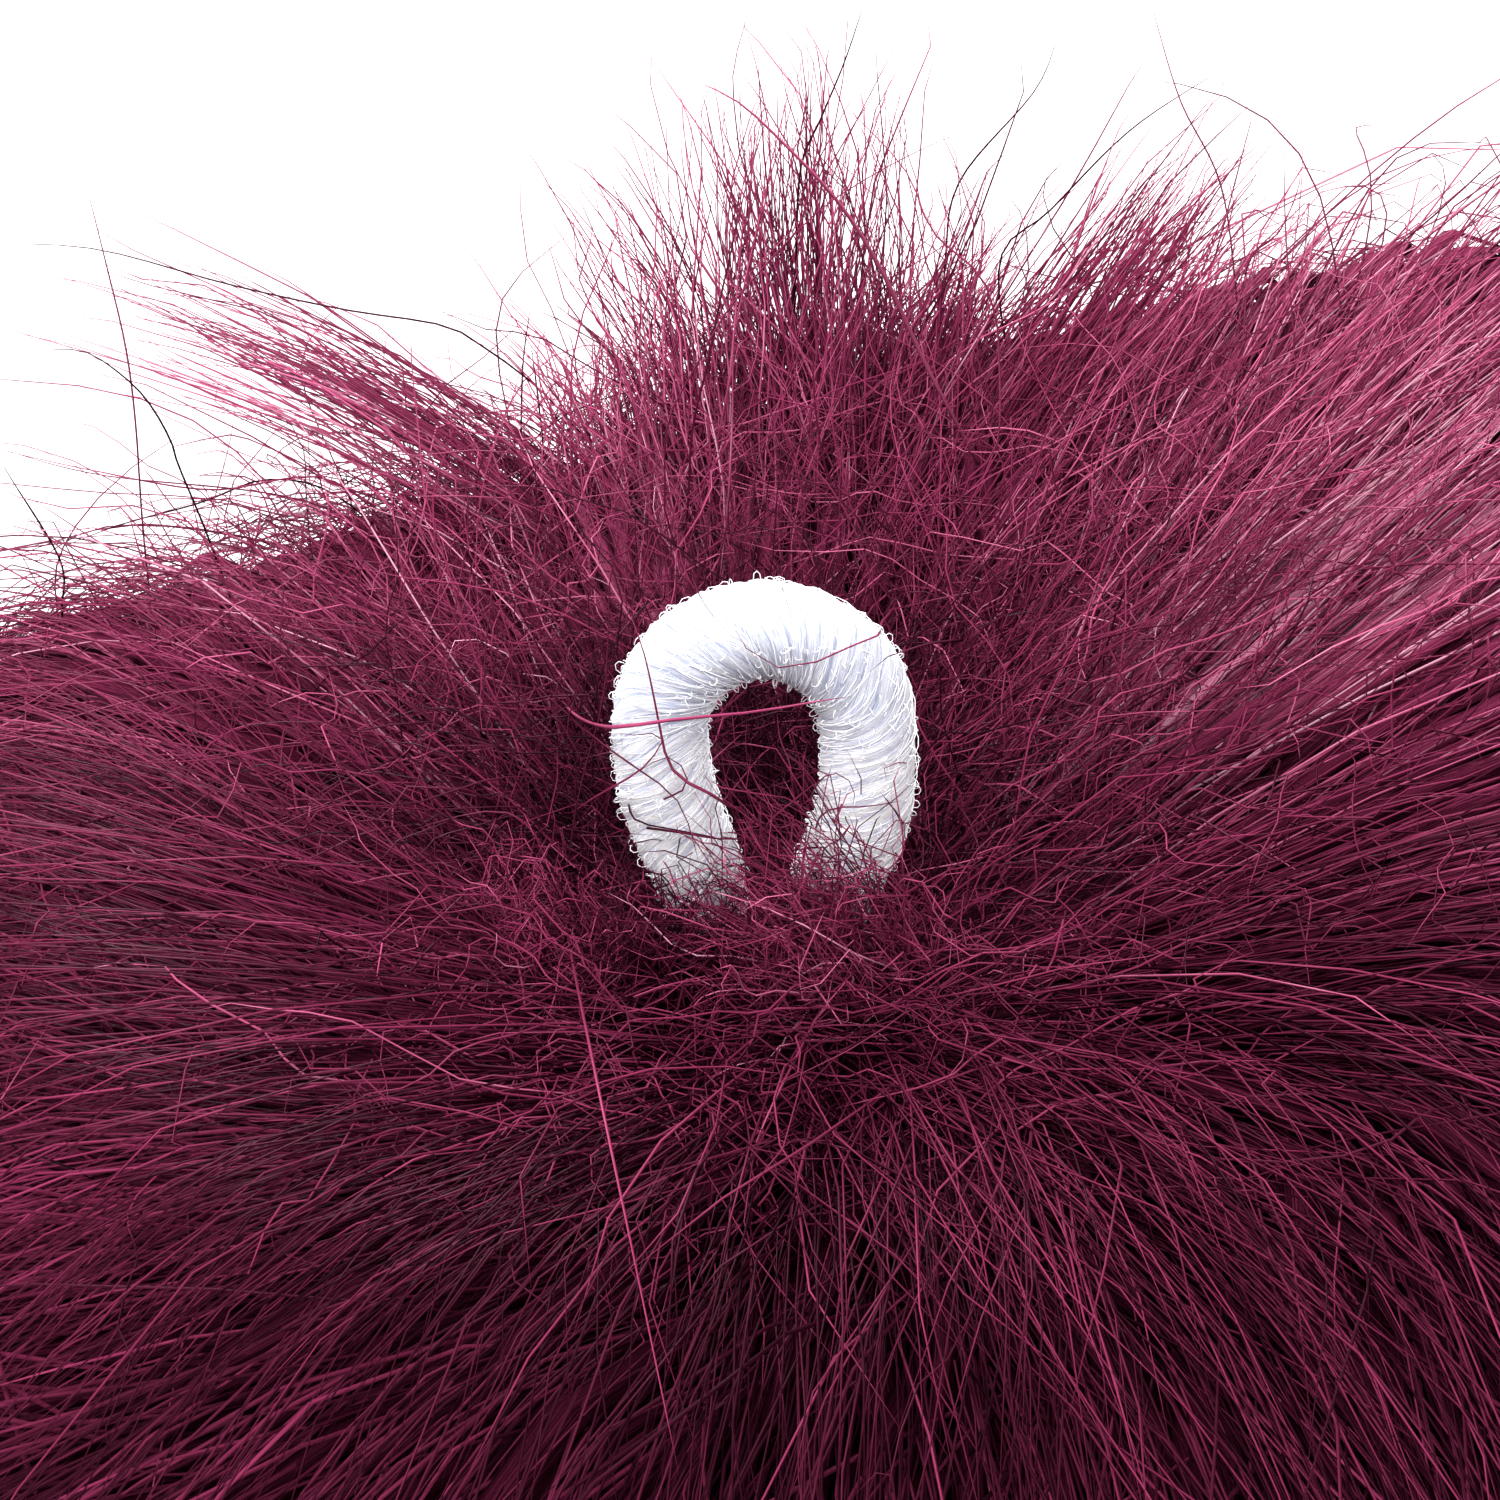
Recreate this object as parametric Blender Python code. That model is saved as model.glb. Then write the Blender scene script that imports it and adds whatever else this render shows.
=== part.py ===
"""Faux fur pom pom with an elastic hanging loop.

fur_pom       the ball of fur, out to the tips of its pile, with the hollow from which the pile radiates
elastic_loop  a doubled length of round covered elastic, standing in the hollow with both feet on its floor

Metres, +Z up. The origin is the middle of the flat spot that the ball rests on. The plane of the
loop is parallel to XZ, so its eye runs along Y.
"""

import math

import bmesh
import bpy
import numpy as np
from mathutils import Vector

MM = 0.001

# The ball of fur
FUR_RADIUS = 55 * MM
REST_RADIUS = 16 * MM
BALL_CENTRE_Z = math.sqrt(FUR_RADIUS**2 - REST_RADIUS**2)
BALL_MERIDIANS = 56
BALL_RINGS = 46

# Broad swellings of the pile. Each is in the direction (x, y, z) from the middle of the ball.
SWELLINGS = (
    # x, y, z, height in mm, spread in degrees
    (0.30, 0.24, 0.82, 7.5, 22),
    (-0.11, 0.29, 0.90, -1.2, 22),
    (-0.63, 0.25, 0.65, 3.4, 11),
    (-0.48, -0.82, 0.20, 1.6, 26),
    (0.66, -0.70, 0.12, -1.4, 25),
    (0.05, 0.97, -0.05, 1.8, 28),
    (-0.92, 0.10, -0.30, 1.5, 24),
    (0.90, 0.25, -0.28, 1.0, 26),
)

# Locks of pile: ripples with this height, this number of waves for each unit of the direction, and
# these phases along X, Y and Z
LOCK_HEIGHT = 1.4 * MM
LOCK_WAVES = 15
LOCK_PHASES = (0.4, 1.3, 2.1)

# The hollow at the gather, round the foot of the loop
HOLLOW_X = -10 * MM
HOLLOW_Y = -4 * MM
HOLLOW_DEPTH = 11 * MM
HOLLOW_FLOOR_RADIUS = 3.9 * MM
HOLLOW_RIM_SOFTNESS = 1.2 * MM
HOLLOW_RISES = (
    # compass degrees from +X, rise of the wall per unit of distance
    (0, 0.55),
    (90, 0.27),
    (180, 0.14),
    (270, 0.20),
)

# The elastic loop
ELASTIC_DIAMETER = 2.5 * MM
SEAT_GAP = 0.3 * MM
LOOP_STEPS = 3
LOOP_ROUTE = (
    # mm across from the middle of the hollow, mm above the seat
    (-1.46, 0.00),
    (-1.46, 0.25),
    (-1.47, 0.50),
    (-1.80, 1.60),
    (-2.22, 2.60),
    (-2.56, 3.60),
    (-2.76, 4.70),
    (-2.80, 5.85),
    (-2.58, 6.85),
    (-2.00, 7.74),
    (-1.08, 8.36),
    (0.00, 8.56),
    (1.04, 8.34),
    (1.92, 7.70),
    (2.46, 6.82),
    (2.68, 5.80),
    (2.72, 4.60),
    (2.66, 3.50),
    (2.42, 2.50),
    (1.96, 1.45),
    (1.53, 0.50),
    (1.52, 0.25),
    (1.52, 0.00),
)

# Where the ball's round outside would be at the hollow, if the pile weren't pressed in there
BALL_TOP_AT_HOLLOW = BALL_CENTRE_Z + math.sqrt(FUR_RADIUS**2 - HOLLOW_X**2 - HOLLOW_Y**2)
HOLLOW_FLOOR_Z = BALL_TOP_AT_HOLLOW - HOLLOW_DEPTH


def clear_scene():
    for obj in list(bpy.data.objects):
        bpy.data.objects.remove(obj, do_unlink=True)


def new_collection(name):
    collection = bpy.data.collections.new(name)
    bpy.context.scene.collection.children.link(collection)
    return collection


def plain_material(name, colour, roughness):
    material = bpy.data.materials.new(name)
    material.use_nodes = True
    shader = material.node_tree.nodes["Principled BSDF"]
    shader.inputs["Base Color"].default_value = (*colour, 1.0)
    shader.inputs["Roughness"].default_value = roughness
    shader.inputs["Metallic"].default_value = 0.0
    return material


def pile_height(direction):
    """How far the pile stands out past FUR_RADIUS in each direction: broad bells plus fine ripples."""
    height = np.zeros(len(direction))
    for x, y, z, bell_mm, spread_deg in SWELLINGS:
        peak = np.array((x, y, z)) / math.hypot(x, y, z)
        angle = np.degrees(np.arccos(np.clip(direction @ peak, -1, 1)))
        height += bell_mm * MM * np.exp(-((angle / spread_deg) ** 2))
    ripple = np.prod(np.sin(LOCK_WAVES * direction + LOCK_PHASES), axis=1)
    return height + LOCK_HEIGHT * ripple


def hollow_height(x, y):
    """The height of the hollow's surface: a flat floor, and walls that rise evenly outward.

    Between two compass points the rise is their mean, weighted by the squared cosine of the angle.
    """
    across, along = x - HOLLOW_X, y - HOLLOW_Y
    distance = np.hypot(across, along)
    bearing = np.arctan2(along, across)
    rise = np.zeros(len(x))
    for compass_deg, wall_rise in HOLLOW_RISES:
        weight = np.clip(np.cos(bearing - math.radians(compass_deg)), 0, None) ** 2
        rise += wall_rise * weight
    return HOLLOW_FLOOR_Z + rise * np.clip(distance - HOLLOW_FLOOR_RADIUS, 0, None)


def lower_of(a, b, softness):
    """The lower of two heights, rounded where they cross."""
    return -softness * np.logaddexp(-a / softness, -b / softness)


def build_fur_pom(collection):
    """A UV sphere with its pole at the loop, swollen, pressed in at the pole and cut flat at z = 0."""
    to_loop = Vector((HOLLOW_X, HOLLOW_Y, BALL_TOP_AT_HOLLOW - BALL_CENTRE_Z)).normalized()
    mesh = bpy.data.meshes.new("fur_pom")
    bm = bmesh.new()
    bmesh.ops.create_uvsphere(
        bm,
        u_segments=BALL_MERIDIANS,
        v_segments=BALL_RINGS,
        radius=1.0,
        matrix=Vector((0, 0, 1)).rotation_difference(to_loop).to_matrix().to_4x4(),
    )
    direction = np.array([vert.co for vert in bm.verts])
    point = direction * (FUR_RADIUS + pile_height(direction))[:, None]
    point[:, 2] += BALL_CENTRE_Z
    hollow = hollow_height(point[:, 0], point[:, 1])
    point[:, 2] = lower_of(point[:, 2], hollow, HOLLOW_RIM_SOFTNESS)
    for vert, place in zip(bm.verts, point, strict=True):
        vert.co = place
    bmesh.ops.bisect_plane(
        bm,
        geom=bm.verts[:] + bm.edges[:] + bm.faces[:],
        plane_co=(0, 0, 0),
        plane_no=(0, 0, -1),
        clear_outer=True,
    )
    rim = [edge for edge in bm.edges if edge.is_boundary]
    bmesh.ops.holes_fill(bm, edges=rim, sides=0)
    bmesh.ops.recalc_face_normals(bm, faces=bm.faces[:])
    bm.to_mesh(mesh)
    bm.free()
    mesh.shade_smooth()
    mesh.set_sharp_from_angle(angle=math.radians(50))
    pom = bpy.data.objects.new("fur_pom", mesh)
    mesh.materials.append(plain_material("wine_faux_fur", (0.155, 0.022, 0.058), 0.75))
    collection.objects.link(pom)


def smooth_route(points, steps):
    """Points on the Catmull-Rom curve through the given ones, steps to each stretch."""
    padded = np.vstack((2 * points[0] - points[1], points, 2 * points[-1] - points[-2]))
    before, start, end, after = padded[:-3], padded[1:-2], padded[2:-1], padded[3:]
    route = []
    for step in range(steps):
        t = step / steps
        place = 0.5 * (
            2 * start
            + (end - before) * t
            + (2 * before - 5 * start + 4 * end - after) * t**2
            + (3 * start - before - 3 * end + after) * t**3
        )
        route.append(place)
    route = np.stack(route, axis=1).reshape(-1, points.shape[1])
    return np.vstack((route, points[-1:]))


def build_elastic_loop(collection):
    """A bevelled curve along the loop's route, its two square ends just off the hollow's floor."""
    route = smooth_route(np.array(LOOP_ROUTE) * MM, LOOP_STEPS)
    curve = bpy.data.curves.new("elastic_loop", "CURVE")
    curve.dimensions = "3D"
    curve.bevel_depth = ELASTIC_DIAMETER / 2
    curve.bevel_resolution = 4
    curve.use_fill_caps = True
    spline = curve.splines.new("POLY")
    spline.points.add(len(route) - 1)
    for point, (across, above) in zip(spline.points, route, strict=True):
        point.co = (across, 0, above, 1)
    loop = bpy.data.objects.new("elastic_loop", curve)
    loop.location = (HOLLOW_X, HOLLOW_Y, HOLLOW_FLOOR_Z + SEAT_GAP)
    curve.materials.append(plain_material("white_covered_elastic", (0.9, 0.89, 0.92), 0.8))
    collection.objects.link(loop)


clear_scene()
pom_pom = new_collection("pom_pom")
build_fur_pom(pom_pom)
build_elastic_loop(pom_pom)
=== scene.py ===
"""Faux fur pom pom with an elastic hanging loop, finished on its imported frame.

Lengths are in millimetres until a mesh is made, which is in metres. +Z is up. A direction is a unit
vector from the middle of the ball. The gather is where the pile radiates from, and the loop stands in it.
"""

import math

import bpy
import numpy as np
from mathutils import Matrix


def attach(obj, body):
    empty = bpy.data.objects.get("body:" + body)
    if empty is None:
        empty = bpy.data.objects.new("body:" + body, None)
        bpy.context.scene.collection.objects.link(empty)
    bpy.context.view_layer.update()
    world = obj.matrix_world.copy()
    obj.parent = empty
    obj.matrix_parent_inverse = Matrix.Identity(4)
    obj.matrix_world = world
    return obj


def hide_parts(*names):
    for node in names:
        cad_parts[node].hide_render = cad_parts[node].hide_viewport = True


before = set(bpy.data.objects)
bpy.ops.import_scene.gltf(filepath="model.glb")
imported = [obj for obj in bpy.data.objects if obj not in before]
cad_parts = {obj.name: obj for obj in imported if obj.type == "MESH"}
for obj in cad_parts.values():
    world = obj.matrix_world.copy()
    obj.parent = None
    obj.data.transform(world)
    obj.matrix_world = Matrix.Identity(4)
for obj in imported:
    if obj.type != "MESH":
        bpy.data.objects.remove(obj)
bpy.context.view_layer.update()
MM = 0.001
random = np.random.default_rng(4127)


# ---- The matted pile -----------------------------------------------------------------------------
# The fur is a cut circle of long-pile faux fur, drawn up into a ball. Below its guard hairs the pile
# is one dense mass of dyed acrylic fibre, combed away from the gather. It rests on a small flat spot.

FUR_RADIUS = 55.0
REST_RADIUS = 16.0
BALL_MIDDLE = np.array((0.0, 0.0, math.sqrt(FUR_RADIUS**2 - REST_RADIUS**2)))

# Broad swellings of the pile. Each is in the direction (x, y, z) from the middle of the ball.
SWELLINGS = (
    # x, y, z, height, spread in degrees
    (0.30, 0.24, 0.82, 7.5, 22),
    (-0.11, 0.29, 0.90, -1.2, 22),
    (-0.63, 0.25, 0.65, 3.4, 11),
    (-0.48, -0.82, 0.20, 1.6, 26),
    (0.66, -0.70, 0.12, -1.4, 25),
    (0.05, 0.97, -0.05, 1.8, 28),
    (-0.92, 0.10, -0.30, 1.5, 24),
    (0.90, 0.25, -0.28, 1.0, 26),
)

# The hollow round the foot of the loop, with the rise of its wall per mm at four compass points
HOLLOW_X, HOLLOW_Y = -10.0, -4.0
HOLLOW_DEPTH = 11.0
HOLLOW_FLOOR_RADIUS = 3.9
HOLLOW_RIM_SOFTNESS = 1.2
HOLLOW_RISES = ((0, 0.55), (90, 0.27), (180, 0.14), (270, 0.20))
GATHER = np.array((HOLLOW_X, HOLLOW_Y, math.sqrt(FUR_RADIUS**2 - HOLLOW_X**2 - HOLLOW_Y**2)))
HOLLOW_FLOOR_Z = BALL_MIDDLE[2] + GATHER[2] - HOLLOW_DEPTH
GATHER /= FUR_RADIUS

MAT_DEPTH = 3.1
MAT_RIDGES = ((47, 1.9, 0.34), (83, 3.1, 0.22))  # count, slant, height
MAT_ROWS, MAT_COLUMNS = 72, 180
HOLLOW_REACH = 0.16  # within this angle from the gather, in radians, the mat comes nearer the outside
DEPTH_AT_GATHER = 0.3  # the share of its depth that the mat has at the gather
FLAT_SPOT_FADE = 0.06
FLOOR_GAP = 0.05
STREAKS_ROUND, STREAKS_OUT = 38, 2.6  # the mat's streaks for each radian round the gather and away from it
# The mat's wine, far darker than the locks', is painted shade of the deep pile
MAT_SHADED_COLOURS = ((0.30, (0.008, 0.001, 0.003)), (0.52, (0.028, 0.0035, 0.010)), (0.74, (0.085, 0.010, 0.031)))


def unit(vector):
    """The vector over its own length."""
    return vector / np.maximum(np.linalg.norm(vector, axis=-1, keepdims=True), 1e-9)


TO_RIGHT = unit(np.array((1.0, 0.0, 0.0)) - GATHER[0] * GATHER)
TO_BACK = np.cross(GATHER, TO_RIGHT)


def direction_of(polar, bearing):
    """The direction at angle polar from the gather. Bearing 0 is right, and a quarter turn is the back."""
    level = np.cos(bearing)[..., None] * TO_RIGHT + np.sin(bearing)[..., None] * TO_BACK
    return np.cos(polar)[..., None] * GATHER + np.sin(polar)[..., None] * level


def hollow_height(x, y):
    """A flat floor, then walls that rise evenly, by the squared-cosine mean of the compass points."""
    across, along = x - HOLLOW_X, y - HOLLOW_Y
    bearing = np.arctan2(along, across)
    rise = sum(
        wall_rise * np.clip(np.cos(bearing - math.radians(compass)), 0, None) ** 2
        for compass, wall_rise in HOLLOW_RISES
    )
    return HOLLOW_FLOOR_Z + rise * np.clip(np.hypot(across, along) - HOLLOW_FLOOR_RADIUS, 0, None)


def bell(direction, peak, spread):
    """1 in the direction of the peak, falling by a factor e at spread degrees from it, as a bell curve."""
    angle = np.degrees(np.arccos(np.clip(direction @ peak, -1, 1)))
    return np.exp(-((angle / spread) ** 2))


def fur_surface(direction):
    """The outside of the pile: the radius plus a bell for each swelling, or the hollow where it is lower."""
    radius = np.full(direction.shape[:-1], FUR_RADIUS)
    for x, y, z, height, spread in SWELLINGS:
        peak = np.array((x, y, z)) / math.hypot(x, y, z)
        radius += height * bell(direction, peak, spread)
    point = BALL_MIDDLE + direction * radius[..., None]
    hollow = hollow_height(point[..., 0], point[..., 1])
    point[..., 2] = -HOLLOW_RIM_SOFTNESS * np.logaddexp(
        -point[..., 2] / HOLLOW_RIM_SOFTNESS, -hollow / HOLLOW_RIM_SOFTNESS
    )
    return point


def new_piece(name, points, faces, material):
    """A smooth mesh from points in mm and arrays of faces, one for each number of corners, on the root."""
    corners = np.concatenate([face.ravel() for face in faces]).astype(np.int32)
    sides = np.concatenate([np.full(len(face), face.shape[1]) for face in faces])
    starts = np.concatenate(([0], np.cumsum(sides)[:-1])).astype(np.int32)
    mesh = bpy.data.meshes.new(name)
    mesh.vertices.add(len(points))
    mesh.vertices.foreach_set("co", (points * MM).astype(np.float32).ravel())
    mesh.loops.add(len(corners))
    mesh.loops.foreach_set("vertex_index", corners)
    mesh.polygons.add(len(sides))
    mesh.polygons.foreach_set("loop_start", starts)
    mesh.polygons.foreach_set("use_smooth", np.ones(len(sides), bool))
    mesh.update()
    mesh.materials.append(material)
    piece = bpy.data.objects.new(name, mesh)
    bpy.context.scene.collection.objects.link(piece)
    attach(piece, "root")
    return piece, corners


def closed_grid_faces(rows, columns):
    """Quads of a grid that closes along its columns, with a fan at each end to the last two points."""
    row, column = np.meshgrid(np.arange(rows - 1), np.arange(columns), indexing="ij")
    here, beside = row * columns + column, row * columns + (column + 1) % columns
    quads = np.stack((here, beside, beside + columns, here + columns), axis=-1).reshape(-1, 4)
    first, second = np.arange(columns), (np.arange(columns) + 1) % columns
    start, last = rows * columns, (rows - 1) * columns
    top = np.stack((np.full(columns, start), second, first), axis=-1)
    bottom = np.stack((np.full(columns, start + 1), last + first, last + second), axis=-1)
    return quads, np.concatenate((top, bottom))


def feed(tree, shader_node, inputs):
    """Gives inputs of a node their values, or links them where a socket is given."""
    for name, value in inputs.items():
        if isinstance(value, bpy.types.NodeSocket):
            tree.links.new(value, shader_node.inputs[name])
        else:
            shader_node.inputs[name].default_value = value


def node(tree, kind, inputs, **settings):
    """A new shader node with these settings and inputs."""
    made = tree.nodes.new("ShaderNode" + kind)
    for name, value in settings.items():
        setattr(made, name, value)
    feed(tree, made, inputs)
    return made


def principled(name, roughness, specular, specular_tint=(1, 1, 1), sheen=0.0):
    """A new material with its constant values set on the shader, and its tree and shader."""
    material = bpy.data.materials.new(name)
    material.use_nodes = True
    tree = material.node_tree
    shader = tree.nodes["Principled BSDF"]
    values = {"Roughness": roughness, "Specular IOR Level": specular, "Sheen Weight": sheen}
    feed(tree, shader, {"Specular Tint": (*specular_tint, 1), **values})
    return material, tree, shader


def ramp(tree, factor, stops):
    """A colour ramp through (place, colour) stops."""
    made = node(tree, "ValToRGB", {"Fac": factor})
    elements = made.color_ramp.elements
    while len(elements) < len(stops):
        elements.new(0.5)
    for element, (place, colour) in zip(elements, stops):
        element.position = place
        element.color = (*colour, 1)
    return made.outputs["Color"]


def bump(tree, height, strength, distance):
    """A normal bumped by height, over a distance in mm."""
    made = node(tree, "Bump", {"Height": height, "Strength": strength, "Distance": distance * MM})
    return made.outputs["Normal"]


def mat_material():
    """Wine streaks, darkened by painted shade of the deep pile, that run away from the gather, from a noise
    read on the attribute lay.
    """
    material, tree, shader = principled(
        "shaded_matted_wine_fibre", roughness=0.8, specular=0.1, specular_tint=(1.0, 0.5, 0.7)
    )
    lay = node(tree, "Attribute", {}, attribute_name="lay").outputs["Vector"]
    noise = {"Vector": lay, "Scale": 1.0, "Detail": 5.0, "Roughness": 0.68}
    streaks = node(tree, "TexNoise", noise).outputs["Fac"]
    normal = bump(tree, streaks, strength=0.8, distance=0.5)
    feed(tree, shader, {"Base Color": ramp(tree, streaks, MAT_SHADED_COLOURS), "Normal": normal})
    return material


def matted_pile():
    """The surface MAT_DEPTH inside the pile's outside, ridged by slanted sines of the bearing."""
    polar = np.linspace(0, math.pi, MAT_ROWS + 2)
    bearing = np.linspace(0, 2 * math.pi, MAT_COLUMNS, endpoint=False)
    polar, bearing = np.meshgrid(polar[1:-1], bearing, indexing="ij")
    direction = np.concatenate((direction_of(polar, bearing).reshape(-1, 3), (GATHER, -GATHER)))
    polar, bearing = np.append(polar, (0, math.pi)), np.append(bearing, (0, 0))
    ridges = sum(
        height * np.sin(count * bearing + slant * np.sin(3 * polar + count))
        for count, slant, height in MAT_RIDGES
    )
    depth = (MAT_DEPTH - ridges) * np.clip(polar / HOLLOW_REACH, DEPTH_AT_GATHER, 1)
    depth *= np.clip((1 + direction[:, 2]) / FLAT_SPOT_FADE, 0, 1)
    points = fur_surface(direction) - direction * depth[:, None]
    points[:, 2] = np.maximum(points[:, 2], FLOOR_GAP)
    faces = closed_grid_faces(MAT_ROWS, MAT_COLUMNS)
    piece, _ = new_piece("matted_pile", points, faces, mat_material())
    round_gather = (np.cos(bearing) * STREAKS_ROUND, np.sin(bearing) * STREAKS_ROUND)
    lay = np.stack((*round_gather, polar * STREAKS_OUT), axis=-1)
    attribute = piece.data.attributes.new("lay", "FLOAT_VECTOR", "POINT")
    attribute.data.foreach_set("vector", lay.astype(np.float32).ravel())
    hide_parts("fur_pom")


matted_pile()


# ---- The combed locks ----------------------------------------------------------------------------
# The pile lies in soft flat locks, combed away from the gather, each a few dozen acrylic fibres wide.
# They overlap like shingles. Each is modelled as one low ridge, with its fibres as streaks and bump.

HAIR_FLOOR = 0.35
HAIR_FLOOR_SOFTNESS = 0.25
CORNERS = np.radians((90, 210, 330))  # round a thread: its back, then the two edges of its base
FLOW_TURNS = ((228, -66, 36), (262, -16, 24), (315, -24, 24))  # bearing, turn, spread in degrees
FLOW_WANDER = 9.0
PATCH_WAVES = ((0.6, 9, (0.3, 1.9, 4.0)), (0.4, 23, (2.2, 0.7, 1.1)))  # share, waves, phases on each axis

# Regions of the pile: the values between which each begins or ends, for smooth_step
FRONT_EDGE, FRONT_END = (-0.10, 0.75), (34, 60)
BACK_EDGE = (0.64, 0.94)
LIT_EDGE, LIT_START, LIT_END = (-0.25, 0.60), (6, 20), (45, 85)
LIT_TO_RIGHT, LIT_LOSS = 0.45, 0.6
HOLLOW_END = (5, 14)
FRONT_SHADE_START = (12, 21)

# How much each region changes the tone, on a scale from 0, near black, to 1, pale pink: painted shade
# in front and in the hollow, painted light behind, and slow patches of the pile's own tone
FRONT_SHADE = 0.25
PAINTED_BACK_LIGHT = 0.16
HOLLOW_SHADE = 0.15
PATCH_TONE = 0.17
HOLLOW_BACK_MORE = 0.6  # the share more of its shade at the hollow's back
FRONT_LEAST = 0.1  # the share of its shade in front, close to the gather
# Bells of painted light and shade on the pile
LIGHT_AND_SHADE_PATCHES = (
    # bearing, angle from the gather, spread in degrees, how much paler the pile is: painted light above 0,
    # painted shade below
    (80, 20, 6.0, -0.19),
    (103, 21, 5.0, 0.19),
    (90, 6, 5.0, -0.46),
    (27, 22, 9.0, 0.30),
    (3, 16, 6.0, -0.28),
    (20, 6, 4.0, 0.07),
    (165, 19, 6.0, -0.08),
    (172, 12, 4.0, -0.09),
    (160, 6, 4.0, -0.14),
    (192, 11, 5.0, 0.11),
    (262, 8, 5.0, 0.12),
    (305, 12, 5.0, 0.12),
    (340, 17, 5.0, -0.02),
    (232, 23, 5.0, -0.04),
    (236, 10, 3.5, 0.20),
    (258, 16, 3.5, 0.20),
    (287, 19, 4.0, 0.19),
    (235, 16, 3.5, 0.14),
    (335, 8, 3.0, 0.12),
    (215, 4, 2.5, -0.30),
    (308, 21, 5.0, 0.08),
    (20, 21, 4.0, 0.07),
)
FIBRE_COLOURS = (
    # tone, colour
    (0.00, (0.010, 0.001, 0.004)),
    (0.30, (0.062, 0.007, 0.021)),
    (0.60, (0.195, 0.021, 0.066)),
    (0.82, (0.420, 0.080, 0.175)),
    (1.00, (0.720, 0.360, 0.470)),
)
# Painted shade along each fibre, darkest at its root deep in the pile, none at the tip
ROOT_SHADE = ((0.0, (0.14,) * 3), (0.38, (0.56,) * 3), (0.80, (1.0,) * 3))
HAIR_UV_SHARE = 0.0006
TONE_EDGE, MAP_EDGE = 0.03, 0.01  # how far the map OFBake stays inside its square
LOCK_BANDS = (
    # piece, polar angles from and to, count, length, width, depth
    ("combed_locks_near", 4, 36, 2400, (11, 17), (0.6, 1.2), 2.9),
    ("combed_locks_upper", 33, 90, 1900, (13, 19), (1.5, 2.6), 2.7),
    ("combed_locks_lower", 88, 178, 1800, (13, 19), (1.6, 2.8), 2.7),
)
LOCK_POINTS = 5
LOCK_TURN = math.radians(8)
LOCK_RISE, LOCK_DROOP = (0.43, 0.03), -0.36
LOCK_TONE = (0.38, 0.05)
LOCK_FLATNESS = 0.16
LOCK_DEPTHS = (-0.4, 0.6)
LOCK_UV_SHARE, LOCK_START = 0.030, 0.22
SLIMMEST_LOCK, SLIM_END = 0.35, (4, 13)  # the share of its width that a lock has close to the gather


def compass(direction):
    """Unit vectors away from the gather and to its side, in the plane that touches the ball there."""
    away = unit(direction * (direction @ GATHER)[..., None] - GATHER)
    return away, np.cross(direction, away)


def patches(direction):
    """A slow change over the ball, from products of sines of the direction, between about -1 and 1."""
    return sum(
        share * np.sin(waves * direction + phases).prod(axis=-1) for share, waves, phases in PATCH_WAVES
    )


def band(polar_from, polar_to, count, crowding=1.0):
    """Directions scattered evenly between two angles from the gather, or nearer it by a crowding over 1."""
    share = random.uniform(0, 1, count) ** crowding
    near, far = (math.cos(math.radians(angle)) for angle in (polar_from, polar_to))
    polar = np.arccos(near + (far - near) * share)
    return direction_of(polar, random.uniform(0, 2 * math.pi, count))


def polar_of(direction):
    """The angle from the gather, in degrees."""
    return np.degrees(np.arccos(np.clip(direction @ GATHER, -1, 1)))


def smooth_step(value, low, high):
    """0 up to low, 1 from high on, and an even S between them."""
    share = np.clip((value - low) / (high - low), 0, 1)
    return share * share * (3 - 2 * share)


def bearing_of(direction):
    """The bearing round the gather, in radians."""
    return np.arctan2(direction @ TO_BACK, direction @ TO_RIGHT)


def flow_turn(direction):
    """How far the lay turns from straight away: a bell for each row of FLOW_TURNS, plus a slow wander."""
    bearing = np.degrees(bearing_of(direction)) % 360
    turn = sum(
        amount * np.exp(-(((bearing - middle) / spread) ** 2)) for middle, amount, spread in FLOW_TURNS
    )
    return np.radians(turn + FLOW_WANDER * patches(direction[..., (1, 2, 0)]))


def level_part(direction):
    """The unit vector square to the gather's direction, to the side of it that a direction is on."""
    return unit(direction - (direction @ GATHER)[..., None] * GATHER)


def in_front(direction):
    """1 in front of the gather, where the pile is deepest, fading out to the sides and further on."""
    # the mask also of the painted shade in front
    facing = smooth_step(-(level_part(direction) @ TO_BACK), *FRONT_EDGE)
    return facing * (1 - smooth_step(polar_of(direction), *FRONT_END))


def behind_gather(direction):
    """1 straight behind the gather, 0 from about 50 degrees to either side of that."""
    return smooth_step(level_part(direction) @ TO_BACK, *BACK_EDGE)


def catches_light(direction):
    """1 on the slope behind the gather and to its right, 0 in front and close to the gather."""
    # the mask of the painted light that makes the pile paler behind
    facing = smooth_step(level_part(direction) @ (TO_BACK + LIT_TO_RIGHT * TO_RIGHT), *LIT_EDGE)
    polar = polar_of(direction)
    return facing * smooth_step(polar, *LIT_START) * (1 - LIT_LOSS * smooth_step(polar, *LIT_END))


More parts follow.
